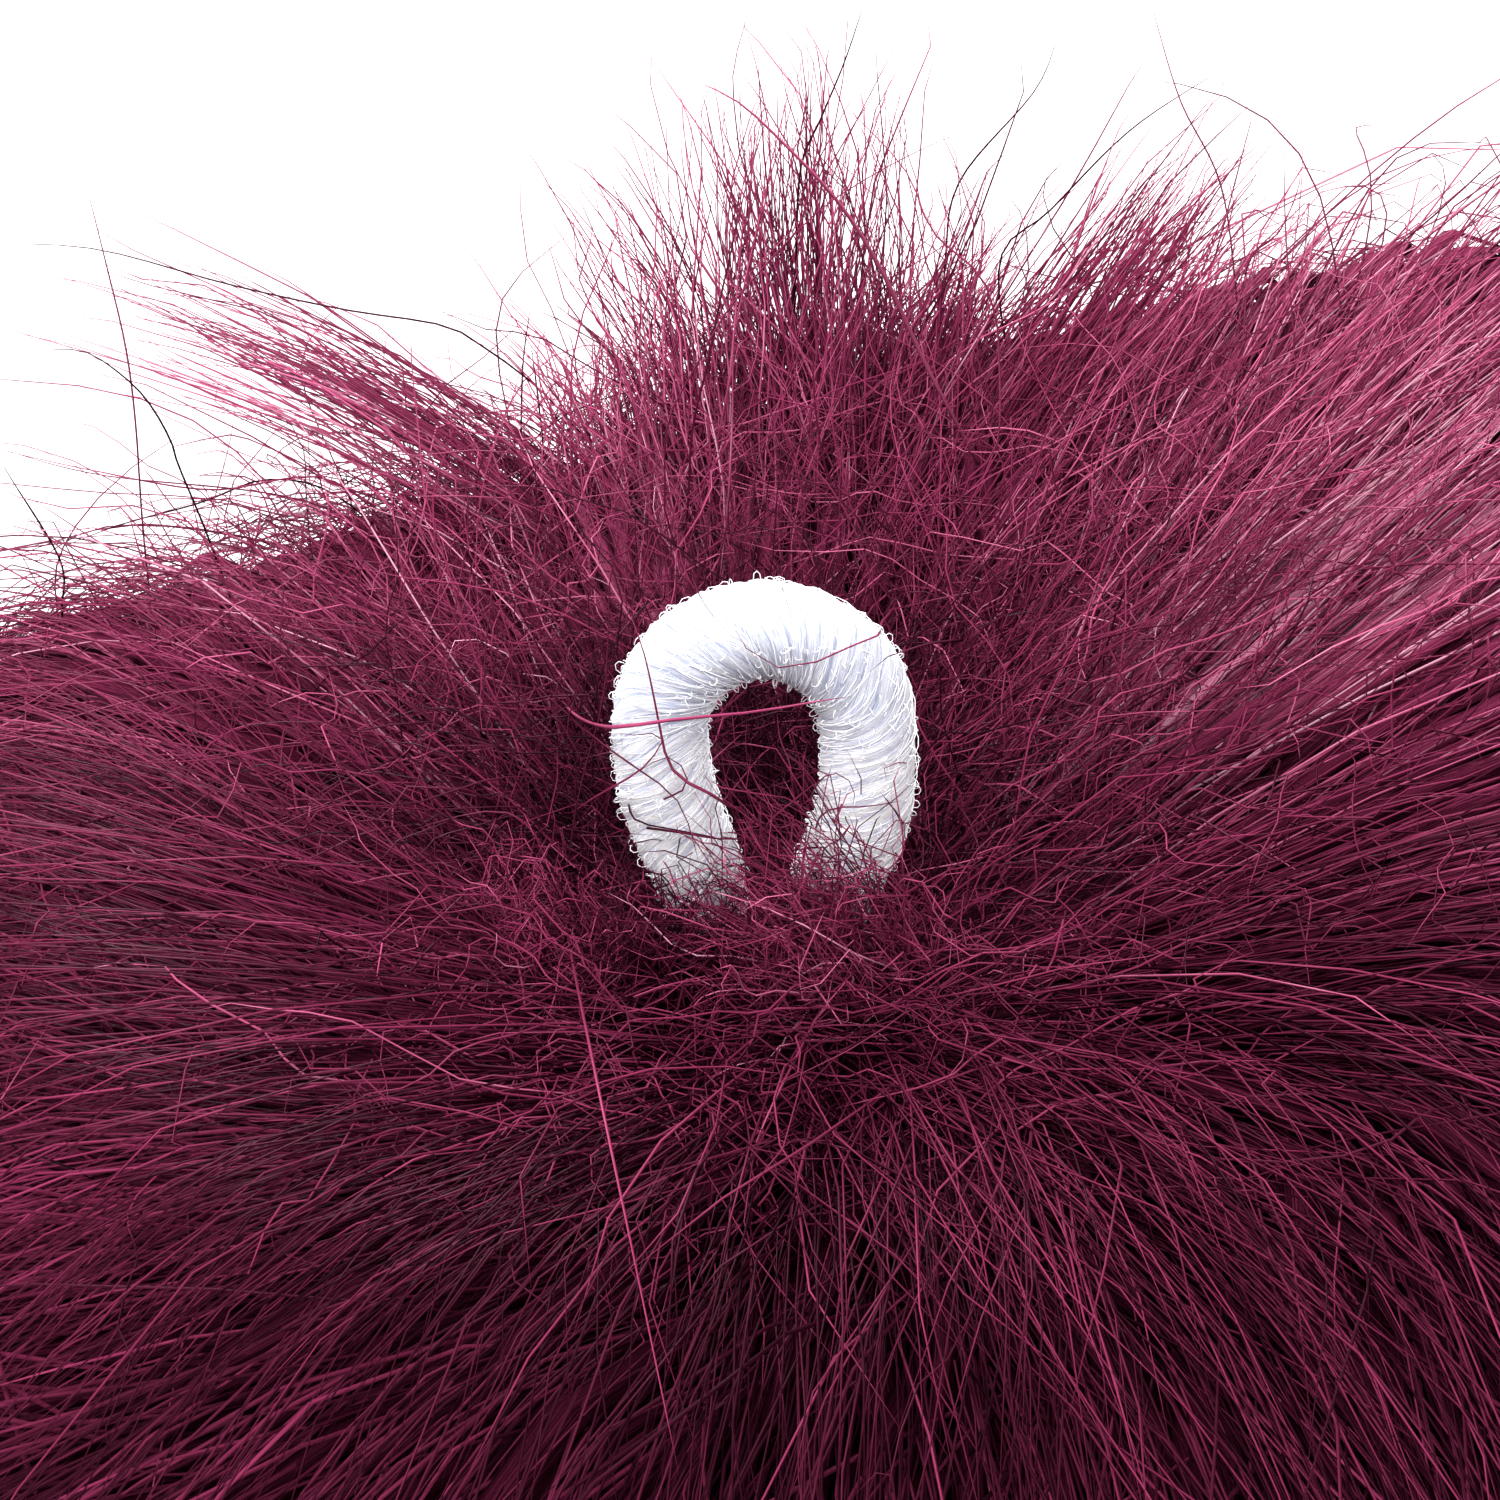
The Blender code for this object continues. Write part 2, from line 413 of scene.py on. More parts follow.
def tone_with_painted_light(direction):
    """How much paler than its mean the pile is, with its painted light and shade.

    It changes in slow patches of its own tone and by the listed bells of painted light and shade.
    Painted light makes it paler behind, and painted shade darker in the hollow, most at its back, and in
    front, least close to the gather.
    """
    polar = polar_of(direction)
    in_hollow = (1 - smooth_step(polar, *HOLLOW_END)) * (1 + HOLLOW_BACK_MORE * behind_gather(direction))
    deep = FRONT_LEAST + (1 - FRONT_LEAST) * smooth_step(polar, *FRONT_SHADE_START)
    shaded_front = in_front(direction) * deep
    tone = PATCH_TONE * patches(direction) + PAINTED_BACK_LIGHT * catches_light(direction)
    tone -= FRONT_SHADE * shaded_front + HOLLOW_SHADE * in_hollow
    for bearing, angle, spread, change in LIGHT_AND_SHADE_PATCHES:
        middle = direction_of(np.radians([angle]), np.radians([bearing]))[0]
        tone += change * bell(direction, middle, spread)
    return tone


def tone_along(paths):
    """The tone of the pile, with its painted light and shade, at the middle of each path."""
    return tone_with_painted_light(unit(paths[:, paths.shape[1] // 2] - BALL_MIDDLE))


def heading_of(root, turn):
    """The way that a hair sets off, turned from straight away from the gather, and the way to its side."""
    away, aside = compass(root)
    heading = np.cos(turn)[:, None] * away + np.sin(turn)[:, None] * aside
    return heading, np.cross(root, heading)


def lay_hairs(root, turn, length, depth, rise, droop, sway, points):
    """Paths of hairs over the ball.

    From its root a hair follows the great circle turned by turn from straight away from the gather. Its
    height over the pile's outside is -depth + length * (rise * s + droop * s^2), where s is the share of
    its length. It sways to the side by one slow wave, (amount, waves, phase).
    """
    s = np.linspace(0, 1, points)[None, :, None]
    heading, sideways = heading_of(root, turn)
    arc = length[:, None, None] / FUR_RADIUS * s
    amount, waves, phase = (value[:, None, None] for value in sway)
    wave = np.sin(2 * math.pi * (waves * s + phase)) - np.sin(2 * math.pi * phase)
    swing = amount / FUR_RADIUS * wave * s
    direction = root[:, None] * np.cos(arc) + heading[:, None] * np.sin(arc) + sideways[:, None] * swing
    direction = unit(direction)
    s = s[..., 0]
    height = length[:, None] * (rise[:, None] * s + droop[:, None] * s**2) - depth[:, None]
    path = fur_surface(direction) + direction * height[..., None]
    path[..., 2] = HAIR_FLOOR + HAIR_FLOOR_SOFTNESS * np.logaddexp(
        0, (path[..., 2] - HAIR_FLOOR) / HAIR_FLOOR_SOFTNESS
    )
    return path


def slow_sway(count, amount=(0.2, 1.4)):
    """For each hair, the amount, number of waves and phase of its slow wave."""
    return random.uniform(*amount, count), random.uniform(0.3, 0.8, count), random.uniform(0, 1, count)


def thread_piece(
    name, paths, widths, tones, taper, material,
    slot="fur", base=None, flatness=1.0, share=HAIR_UV_SHARE, start=0.0,
):
    """Closed threads along paths (threads, points, 3): a triangle round each inner point, tips at both ends.

    The triangles turn with the path without twisting. base is the way that a triangle's base lies at the
    root, and flatness its height over its even height. The map OFBake holds each thread's tone, plus and
    minus share, across, and how far along it a point is, from start at the root to 1 at the tip. A thread
    is as wide as its width times the taper.
    """
    threads, points = paths.shape[:2]
    rings = points - 2
    ahead = unit(np.gradient(paths, axis=1))
    side = unit(np.cross(ahead[:, 0], np.array((0.31, -0.47, 0.83)))) if base is None else base
    across, up = np.cos(CORNERS)[None, :, None], np.sin(CORNERS)[None, :, None]
    hoops = []
    for ring in range(1, points - 1):
        side = unit(side - (side * ahead[:, ring]).sum(-1, keepdims=True) * ahead[:, ring])
        other = np.cross(ahead[:, ring], side) * flatness
        radius = (widths * taper[ring] / math.sqrt(3))[:, None, None]
        hoops.append(paths[:, ring, None] + radius * (across * side[:, None] + up * other[:, None]))
    hoops = np.stack(hoops, axis=1).reshape(threads, -1, 3)
    vertices = np.concatenate((hoops, paths[:, :1], paths[:, -1:]), axis=1)
    vertices[..., 2] = np.maximum(vertices[..., 2], FLOOR_GAP)

    corner, after = np.arange(3), (np.arange(3) + 1) % 3
    hoop = np.arange(rings - 1)[:, None] * 3
    quads = np.stack((hoop + corner, hoop + after, hoop + 3 + after, hoop + 3 + corner), axis=-1)
    root, tip, last = rings * 3, rings * 3 + 1, (rings - 1) * 3
    root_fan = np.stack((np.full(3, root), after, corner), axis=-1)
    tip_fan = np.stack((np.full(3, tip), last + corner, last + after), axis=-1)
    first = np.arange(threads)[:, None, None] * (tip + 1)
    ends = first + np.concatenate((root_fan, tip_fan))
    faces = ((first + quads.reshape(1, -1, 4)).reshape(-1, 4), ends.reshape(-1, 3))
    piece, corners = new_piece(name, vertices.reshape(-1, 3), faces, material)

    along = np.concatenate((np.repeat(np.arange(1, rings + 1), 3), (0, rings + 1))) / (rings + 1)
    across = np.concatenate((np.tile((0.0, -1.0, 1.0), rings), (0, 0))) * share
    place = np.empty((threads, tip + 1, 2), np.float32)
    place[..., 0] = np.clip(tones, TONE_EDGE, 1 - TONE_EDGE)[:, None] + across
    place[..., 1] = MAP_EDGE + (1 - 2 * MAP_EDGE) * (start + (1 - start) * along)
    piece.data.uv_layers.new(name="OFBake").data.foreach_set("uv", place.reshape(-1, 2)[corners].ravel())


def maths(tree, operation, *values):
    """The result of a math node."""
    return node(tree, "Math", dict(enumerate(values)), operation=operation).outputs["Value"]


def times(tree, colour, other):
    """The product of two colours: inputs 6 and 7 of a mix node, which 0 weighs."""
    inputs = {0: 1.0, 6: colour, 7: other}
    return node(tree, "Mix", inputs, data_type="RGBA", blend_type="MULTIPLY").outputs[2]


def fibre_material(name, roughness, specular, strands, run, contrast, relief):
    """Wine acrylic fibre. Across the map OFBake its tone goes from 0 to 1; along it, painted shade darkens
    the root.

    A noise with strands cells across the map and run cells along it shifts that tone by up to half the
    contrast: streaks of the fibres' own tone on the combed locks, painted broken highlights along the guard
    hairs. It is glossy towards the tip only, because the roots lie deep in the pile.
    """
    material, tree, shader = principled(name, roughness, specular=0.0, specular_tint=(1.0, 0.42, 0.62))
    place = node(tree, "UVMap", {}, uv_map="OFBake").outputs["UV"]
    split = node(tree, "SeparateXYZ", {"Vector": place}).outputs
    stretched = node(tree, "Mapping", {"Vector": place, "Scale": (strands, run, 1)}).outputs["Vector"]
    noise = {"Vector": stretched, "Scale": 1.0, "Detail": 2.0}
    streaks = node(tree, "TexNoise", noise, noise_dimensions="2D").outputs["Fac"]
    tone = maths(tree, "ADD", split["X"], maths(tree, "MULTIPLY_ADD", streaks, contrast, -contrast / 2))
    colour = times(tree, ramp(tree, tone, FIBRE_COLOURS), ramp(tree, split["Y"], ROOT_SHADE))
    feed(tree, shader, {"Base Color": colour})
    if specular:
        gloss = {"Value": split["Y"], "From Min": 0.35, "From Max": 0.75, "To Max": specular}
        feed(tree, shader, {"Specular IOR Level": node(tree, "MapRange", gloss).outputs["Result"]})
    if relief:
        feed(tree, shader, {"Normal": bump(tree, streaks, strength=0.7, distance=relief)})
    return material


COMBED_FIBRE = fibre_material(
    "combed_wine_fibre", roughness=0.55, specular=0.0, strands=620, run=2.0, contrast=1.1, relief=0.06
)


def lock_taper(points):
    """Narrow at the root, full from a third to a half of the length, then narrowing to the tip."""
    s = np.linspace(0, 1, points)
    narrowing = 1.0 - 0.85 * np.clip((s - 0.45) / 0.55, 0, 1) ** 1.4
    return np.minimum(0.35 + 2.0 * s, 1.0) * np.clip(narrowing, 0, 1)


def combed_locks():
    """Flat locks in three bands of the ball. Each rises out of the mat, arches and dives back into it."""
    for name, polar_from, polar_to, count, length, width, depth in LOCK_BANDS:
        root = band(polar_from, polar_to, count)
        turn = flow_turn(root) + random.normal(0, LOCK_TURN, count)
        path = lay_hairs(
            root,
            turn,
            random.uniform(*length, count),
            depth + random.uniform(*LOCK_DEPTHS, count),
            random.normal(*LOCK_RISE, count),
            np.full(count, LOCK_DROOP),
            slow_sway(count),
            LOCK_POINTS,
        )
        tones = random.normal(*LOCK_TONE, count) + tone_along(path)
        _, sideways = heading_of(root, turn)
        slimmer = SLIMMEST_LOCK + (1 - SLIMMEST_LOCK) * smooth_step(polar_of(root), *SLIM_END)
        widths = random.uniform(*width, count) * slimmer
        shape = {"base": sideways, "flatness": LOCK_FLATNESS, "share": LOCK_UV_SHARE, "start": LOCK_START}
        thread_piece(name, path, widths, tones, lock_taper(LOCK_POINTS), COMBED_FIBRE, **shape)


combed_locks()


# ---- The guard hairs -----------------------------------------------------------------------------
# Long, smooth, shiny fibres, which stand out over the combed locks. Round the gather, where the photo
# looks, they are as fine as the real ones. Past it they are coarser and fewer.

NEAR_REACH = 37
NEAR_START, NEAR_CROWDING = 3.5, 1.15
NEAR_LOCKS, FRONT_LOCKS = 1030, 150
FRONT_ANGLES, FRONT_BEARING = (4, 27), (266, 42)
NEAR_POINTS, FAR_POINTS = 6, 4
FAR_BANDS = (("upper", 32, 88, 580), ("lower", 86, 178, 430))  # name, polar angles from and to, locks

# A lock of hairs: how unevenly its lay, height, tone and sway are drawn, and how its roots spread along it
UNEVEN_TURN, UNEVEN_LIFT = math.radians(9), 0.05
LOCK_HAIR_TONE, UNEVEN_TONE, UNEVEN_IN_FRONT = 0.49, 0.08, 0.8
LOCK_SWAY = (0.4, 2.2)
LOCK_STRETCH = 1.6

# A hair in it: its share of the lock's length, its depth, height, tone and sway, and its own small bends
HAIR_LENGTHS, HAIR_DEPTHS, HAIR_LIFT = (0.65, 1.12), (-0.6, 1.0), 0.045
HAIR_TONE, HAIR_SWAYS, HAIR_BENDS = 0.09, (0.3, 0.1, 0.08), 0.02
DRAWN_IN = 1.4  # the power of the share of its length by which a hair is drawn in
# the darkest and palest tones; in front the palest is lower, as part of the painted shade there
TONE_LIMITS, FRONT_TONE_LOSS = (0.08, 0.95), 0.36
STRAY_SHARE, STRAY_TURN, STRAY_LIFT, STRAY_TONE = 0.14, 3.2, 0.08, 0.08
PALE_SHARE, PALE_TONES, PALE_END = 0.02, (0.70, 0.84), (26, 32)
SHALLOWER, SHALLOW_END = 1.8, (6, 16)

# Round the gather hairs are wider further out and in front, and thinned behind the loop and close to it
WIDER_FAR, WIDER_FAR_START = 0.8, (27, NEAR_REACH)
WIDER_FRONT, WIDER_FRONT_START = 0.6, (10, 24)
THIN_BEHIND, THIN_BEHIND_END = 0.75, (20, 28)
THIN_CLOSE, THIN_CLOSE_END = 0.70, (9, 14)
SLIM_FAR, SLIM_FAR_END = 0.45, (32, 55)  # the far hairs' share of their width where they begin
FAR_LIFT = (0.46, -0.24)
NEAR_LIFT, LIFT_BEHIND, LIFTED_ANGLE = (0.42, -0.24), (0.06, -0.02), 16  # rise and droop
QUARTERS = ("right", "back", "left", "front")
# Its noise, five cells along each hair, paints broken highlights on the hairs
WINE_HAIR = fibre_material(
    "wine_guard_hair", roughness=0.42, specular=0.035, strands=900, run=5.0, contrast=0.40, relief=0
)


def crimped(paths, amount, waves):
    """The paths plus a sine along each axis, each with its own waves and phase, and none at the root."""
    count, points = paths.shape[:2]
    s = np.linspace(0, 1, points)[None, :, None]
    number = random.uniform(*waves, (count, 1, 3))
    phase = random.uniform(0, 1, (count, 1, 3))
    curl = np.sin(2 * math.pi * (number * s + phase)) - np.sin(2 * math.pi * phase)
    return paths + random.uniform(*amount, (count, 1, 1)) * curl


def shallower(direction):
    """How much less deep a hair starts just in front of the gather, so that it shows from its root on."""
    return SHALLOWER * in_front(direction) * (1 - smooth_step(polar_of(direction), *SHALLOW_END))


def locks_of_hair(locks, each, spread, length, width, depth, lift, points, loose, pull, swept=0.0):
    """Hairs in locks. Each lock has its own lay, and its hairs start round it and draw in towards the tip.

    lift gives (rise, droop) as a function of the direction. swept turns them all, in degrees. loose is how
    far hairs turn from their lock, in degrees. Strays turn further, are higher and paler, and aren't
    drawn in.
    """
    count = len(locks)
    lock_turn = flow_turn(locks) + math.radians(swept) + random.normal(0, UNEVEN_TURN, count)
    lock_length = random.uniform(*length, count)
    lock_lift = random.normal(0, UNEVEN_LIFT, count)
    uneven = random.normal(0, UNEVEN_TONE, count) * (1 + UNEVEN_IN_FRONT * in_front(locks))
    lock_tone = LOCK_HAIR_TONE + uneven
    lock_sway = slow_sway(count, LOCK_SWAY)
    rise, droop = lift(locks)
    lock_depth = depth - shallower(locks)
    middle = lay_hairs(locks, lock_turn, lock_length, lock_depth, rise + lock_lift, droop, lock_sway, points)
    lock_tone += tone_along(middle)

    which = np.repeat(np.arange(count), each)
    hairs = len(which)
    away, aside = compass(locks[which])
    offset = random.normal(0, spread / FUR_RADIUS, (hairs, 2))
    root = unit(locks[which] + away * offset[:, :1] * LOCK_STRETCH + aside * offset[:, 1:])
    stray = random.uniform(0, 1, hairs) < STRAY_SHARE
    turn = random.normal(0, 1, hairs) * np.where(stray, STRAY_TURN, 1.0) * math.radians(loose)
    rise, droop = lift(root)
    sway = tuple(
        value[which] + random.normal(0, uneven, hairs) for value, uneven in zip(lock_sway, HAIR_SWAYS)
    )
    own = lay_hairs(
        root=root,
        turn=lock_turn[which] + turn,
        length=lock_length[which] * random.uniform(*HAIR_LENGTHS, hairs),
        depth=depth - shallower(root) + random.uniform(*HAIR_DEPTHS, hairs),
        rise=rise + lock_lift[which] + random.normal(0, HAIR_LIFT, hairs) + STRAY_LIFT * stray,
        droop=droop,
        sway=sway,
        points=points,
    )
    s = np.linspace(0, 1, points)[None, :, None]
    drawn = (random.uniform(*pull, hairs) * ~stray)[:, None, None] * s**DRAWN_IN
    paths = own + (middle[which] - own) * drawn
    paths[:, 1:] += random.normal(0, HAIR_BENDS, (hairs, points - 1, 3))
    tones = lock_tone[which] + random.normal(0, HAIR_TONE, hairs) + STRAY_TONE * stray
    few = PALE_SHARE * (1 - in_front(root)) * (1 - smooth_step(polar_of(root), *PALE_END))
    pale = random.uniform(0, 1, hairs) < few
    tones = np.where(pale, random.uniform(*PALE_TONES, hairs), tones)
    darkest, palest = TONE_LIMITS
    tones = np.clip(tones, darkest, palest - FRONT_TONE_LOSS * in_front(root))
    return paths, random.uniform(*width, hairs), tones, root


def near_lift(direction):
    """Rise and droop of the hairs round the gather: low in front, standing up a little behind the loop."""
    back = np.clip(level_part(direction) @ TO_BACK, 0, 1)
    close = np.exp(-((polar_of(direction) / LIFTED_ANGLE) ** 2))
    return NEAR_LIFT[0] + LIFT_BEHIND[0] * back * close, NEAR_LIFT[1] + LIFT_BEHIND[1] * back


def far_lift(direction):
    """Rise and droop of the hairs on the rest of the ball, even all over."""
    return tuple(np.full(len(direction), value) for value in FAR_LIFT)


def smooth_taper(points):
    """Full width over the first half of a hair, narrowing to a quarter of it at the tip."""
    s = np.linspace(0, 1, points)
    return np.clip(1.0 - 0.75 * np.clip((s - 0.55) / 0.45, 0, 1) ** 1.6, 0, 1)


def near_guard_hairs():
    """Fine hairs in locks, up to NEAR_REACH degrees from the gather, as one piece for each quarter round it.

    They are wider further out, and thinned behind the loop and close to the gather.
    """
    locks = band(NEAR_START, NEAR_REACH, NEAR_LOCKS, NEAR_CROWDING)
    polar, bearing = random.uniform(*FRONT_ANGLES, FRONT_LOCKS), random.normal(*FRONT_BEARING, FRONT_LOCKS)
    locks = np.concatenate((locks, direction_of(np.radians(polar), np.radians(bearing))))
    fine = {"length": (13, 25), "width": (0.040, 0.072), "depth": 3.4, "pull": (0.2, 0.75)}
    paths, widths, tones, root = locks_of_hair(
        locks, each=14, spread=0.9, loose=7.0, lift=near_lift, points=NEAR_POINTS, **fine
    )
    polar, front = polar_of(root), in_front(root)
    wider_front = WIDER_FRONT * front * smooth_step(polar, *WIDER_FRONT_START)
    widths *= 1 + WIDER_FAR * smooth_step(polar, *WIDER_FAR_START) + wider_front
    thinned = THIN_BEHIND * behind_gather(root) * (1 - smooth_step(polar, *THIN_BEHIND_END))
    thinned = np.maximum(thinned, THIN_CLOSE * (1 - front) * (1 - smooth_step(polar, *THIN_CLOSE_END)))
    kept = random.uniform(0, 1, len(root)) > thinned
    quarter = np.round(bearing_of(root) / (math.pi / 2)).astype(int) % len(QUARTERS)
    taper = smooth_taper(NEAR_POINTS)
    for index, name in enumerate(QUARTERS):
        own = kept & (quarter == index)
        thread_piece(f"guard_hair_{name}", paths[own], widths[own], tones[own], taper, WINE_HAIR)


def far_guard_hairs():
    """Coarser hairs over the rest of the ball, in two pieces: its upper sides, and its lower half."""
    coarse = {"length": (15, 24), "width": (0.15, 0.26), "depth": 3.2, "pull": (0.2, 0.7)}
    for name, polar_from, polar_to, count in FAR_BANDS:
        locks = band(polar_from, polar_to, count)
        paths, widths, tones, root = locks_of_hair(
            locks, each=10, spread=1.8, loose=8.0, lift=far_lift, points=FAR_POINTS, **coarse
        )
        widths *= SLIM_FAR + (1 - SLIM_FAR) * smooth_step(polar_of(root), *SLIM_FAR_END)
        thread_piece(f"guard_hair_{name}", paths, widths, tones, smooth_taper(FAR_POINTS), WINE_HAIR)


near_guard_hairs()
far_guard_hairs()


# ---- The loose hairs -----------------------------------------------------------------------------
# Hairs that no comb has laid flat. Short ones cross the pile round the gather at every angle. Behind
# the loop a crinkled tuft stands up, and single hairs stand clear of the outline to both sides of it.

LOOSE_POINTS, TUFT_POINTS = 10, 8
CROSSING_HAIRS, OUTLINE_STRAYS = 2000, 310
BEHIND_SHARE, BEHIND_ANGLES, BEHIND_BEARING, ROUND_ANGLES = 0.56, (5, 24), (84, 52), (3.5, 18)
BEHIND_RISE, ROUND_RISE = (0.20, 0.90), (0.12, 0.42)
CROSSING_TONE, PILE_SHARE, PALEST_BEHIND, PALEST_ROUND = (0.48, 0.18), 0.7, 0.80, 0.50
LEFT_SHARE, LEFT_BEARING, RIGHT_BEARING, OUTLINE_ANGLES = 0.58, (138, 20), (48, 18), (11, 31)
OUTLINE_RISE, OUTLINE_TONE = (0.30, 0.85), (0.36, 0.68)
TUFT_SHADE, TUFT_CRIMP, TUFT_WAVES = 0.03, (0.06, 0.40), (0.8, 2.2)


def loose_piece(name, root, rise, tone, turn, length, depth, droop, sway, crimp, waves, width, start):
    """Crimped hairs at wide angles, one from each root. rise(n) and tone(n) each draw n values."""
    count = len(root)
    paths = lay_hairs(
        root,
        random.normal(0, math.radians(turn), count),
        random.uniform(*length, count),
        random.uniform(*depth, count),
        rise(count),
        random.uniform(*droop, count),
        slow_sway(count, sway),
        LOOSE_POINTS,
    )
    paths = crimped(paths, crimp, waves)
    tones = tone(count)
    widths = random.uniform(*width, count)
    thread_piece(name, paths, widths, tones, smooth_taper(LOOSE_POINTS), WINE_HAIR, start=start)


def crossing_hairs():
    """Crimped hairs at wide angles over the combed ones: most in a tangle behind the gather."""
    count = CROSSING_HAIRS
    behind = random.uniform(0, 1, count) < BEHIND_SHARE
    polar = np.where(behind, random.uniform(*BEHIND_ANGLES, count), random.uniform(*ROUND_ANGLES, count))
    bearing = np.where(behind, random.normal(*BEHIND_BEARING, count), random.uniform(0, 360, count))
    root = direction_of(np.radians(polar), np.radians(bearing))
    palest = np.where(behind, PALEST_BEHIND, PALEST_ROUND)
    loose_piece(
        "crossing_hair",
        root,
        rise=lambda n: np.where(behind, random.uniform(*BEHIND_RISE, n), random.uniform(*ROUND_RISE, n)),
        tone=lambda n: np.minimum(random.normal(*CROSSING_TONE, n) + PILE_SHARE * tone_with_painted_light(root), palest),
        turn=58,
        length=(3.5, 10),
        depth=(-1.2, 0.6),
        droop=(-0.40, -0.12),
        sway=(0.5, 2.5),
        crimp=(0.10, 0.42),
        waves=(0.9, 3.0),
        width=(0.034, 0.062),
        start=0.35,
    )


TUFTS = (
    # bearing, angle from the gather, turn to the left, length over the ground, rise, locks
    (97, 24, 0, 4.4, 2.7, 12),
    (88, 25, -1, 4.2, 3.3, 19),
    (82, 24, -14, 4.4, 2.0, 10),
    (105, 23, 14, 4.4, 1.8, 8),
    (94, 26, 0, 3.8, 1.6, 18),
    (88, 26, -6, 3.8, 1.5, 17),
    (81, 27, -16, 4.2, 1.2, 16),
    (101, 25, 10, 4.2, 1.2, 12),
    (78, 25, -72, 7.4, 1.35, 8),
    (73, 24, -62, 7.0, 1.15, 8),
    (69, 25, -45, 6.4, 1.0, 7),
    (110, 24, 76, 10.5, 1.08, 14),
)


def standing_tufts():
    """Thin crimped hairs in a clump for each row of TUFTS, upright behind the loop, leaning at its sides."""
    fine = {"width": (0.044, 0.074), "depth": 2.4, "loose": 13.0, "pull": (0.2, 0.75)}
    tufts = []
    for bearing, polar, turn, length, rise, locks in TUFTS:

        def lift(direction):
            """Rise and droop of the hairs of this row, each a little uneven in its rise."""
            count = len(direction)
            return random.normal(rise, 0.12 * rise, count), np.full(count, -0.10 * rise)

        polar, bearing = random.normal(polar, 1.6, locks), random.normal(bearing, 1.9, locks)
        reach = (0.75 * length, 1.25 * length)
        root = direction_of(np.radians(polar), np.radians(bearing))
        clump = {"each": 11, "spread": 0.5, "swept": turn, "points": TUFT_POINTS, **fine}
        tufts.append(locks_of_hair(root, length=reach, lift=lift, **clump))
    paths, widths, tones, _ = (np.concatenate(values) for values in zip(*tufts))
    paths = crimped(paths, TUFT_CRIMP, TUFT_WAVES)
    taper = smooth_taper(TUFT_POINTS)
    thread_piece("standing_tufts", paths, widths, tones - TUFT_SHADE, taper, WINE_HAIR, start=0.25)


def clear_of_outline():
    """Single hairs that rise over the pile's outline, left of the gather and right of it."""
    count = OUTLINE_STRAYS
    left = random.uniform(0, 1, count) < LEFT_SHARE
    bearing = np.where(left, random.normal(*LEFT_BEARING, count), random.normal(*RIGHT_BEARING, count))
    polar = random.uniform(*OUTLINE_ANGLES, count)
    loose_piece(
        "outline_hair",
        direction_of(np.radians(polar), np.radians(bearing)),
        rise=lambda n: random.uniform(*OUTLINE_RISE, n),
        tone=lambda n: random.uniform(*OUTLINE_TONE, n),
        turn=38,
        length=(7, 15),
        depth=(0.5, 2.0),
        droop=(-0.35, -0.10),
        sway=(0.5, 3.0),
        crimp=(0.03, 0.25),
        waves=(0.6, 1.8),
        width=(0.040, 0.066),
        start=0.3,
    )


crossing_hairs()
standing_tufts()
clear_of_outline()


# ---- The underwool at the gather -----------------------------------------------------------------
# Where the edge of the cloth is drawn together, the short crimped fibres of the pile stand in every
# direction. They tangle round the feet of the loop and hide where it goes into the gather.

FEET = (-1.65, 1.69)  # mm across from the middle of the hollow
WOOL_HAIRS, WOOL_POINTS = 1300, 11
COLLAR_HAIRS, COLLAR_POINTS = 1150, 9
WOOL_WIDTHS = (0.036, 0.058)
WOOL_CRIMP, WOOL_WAVES = (0.18, 0.62), (0.8, 2.3)
PALE_WOOL_SHARE, PALE_WOOL_TONES = 0.05, (0.60, 0.78)
WOOL_BEHIND_SHARE, RIGHT_WALL_SHARE = 0.28, 0.42
WOOL_DROOP = -0.20
WOOL_FAR, WOOL_NEAR, WOOL_NEAR_SPREAD = (3.0, 19.0), (0.8, 2.4), 3.4  # mm from the gather
WOOL_BACK = (1.47, 0.6)  # radians round the gather
WOOL_CLOSER, CLOSER_TURN, CLOSER_EDGE = 0.50, math.radians(25), (0.0, 0.8)
WOOL_OUT, WOOL_UP, UNEVEN_OUT, UNEVEN_ASIDE = 0.5, 0.72, 0.6, 0.85
WOOL_DEPTHS, WOOL_LENGTHS, SHORTER_IN_FRONT = (0.6, 2.0), (2.6, 7.5), 0.35
COLLAR_DEPTHS, COLLAR_LENGTHS, LONGER_AT_WALL = (-0.2, 1.0), (1.8, 4.9), 1.8
COLLAR_RING, COLLAR_BEARING = (1.25, 2.5), (-90, 70)
COLLAR_SLANT, COLLAR_UP = 0.55, 1.2
RIGHT_WALL_X, RIGHT_WALL_Y, RIGHT_WALL_LEAN = (2.9, 5.6), (-3.2, 0.4), 0.60


def wool_piece(name, root, start, heading, length, lie_out, points, tone, shade):
    """Crimped fibres that set off along heading and lie down towards the outside by a share of their length.

    A few are pale. tone is the mean and spread of the rest, and shade is where on the map its root is,
    which sets how dark its painted root shade is.
    """
    count = len(root)
    outward, _ = compass(root)
    s = np.linspace(0, 1, points)[None, :, None]
    lie_down = (lie_out * outward + WOOL_DROOP * root) * length[:, None]
    paths = start[:, None] + (heading * length[:, None])[:, None] * s + lie_down[:, None] * s**2
    paths = crimped(paths, WOOL_CRIMP, WOOL_WAVES)
    tones = random.normal(*tone, count) + tone_with_painted_light(root)
    pale = random.uniform(0, 1, count) < PALE_WOOL_SHARE
    tones = np.where(pale, random.uniform(*PALE_WOOL_TONES, count), tones)
    widths = random.uniform(*WOOL_WIDTHS, count)
    thread_piece(name, paths, widths, tones, np.linspace(1, 0.6, points), WINE_HAIR, start=shade)


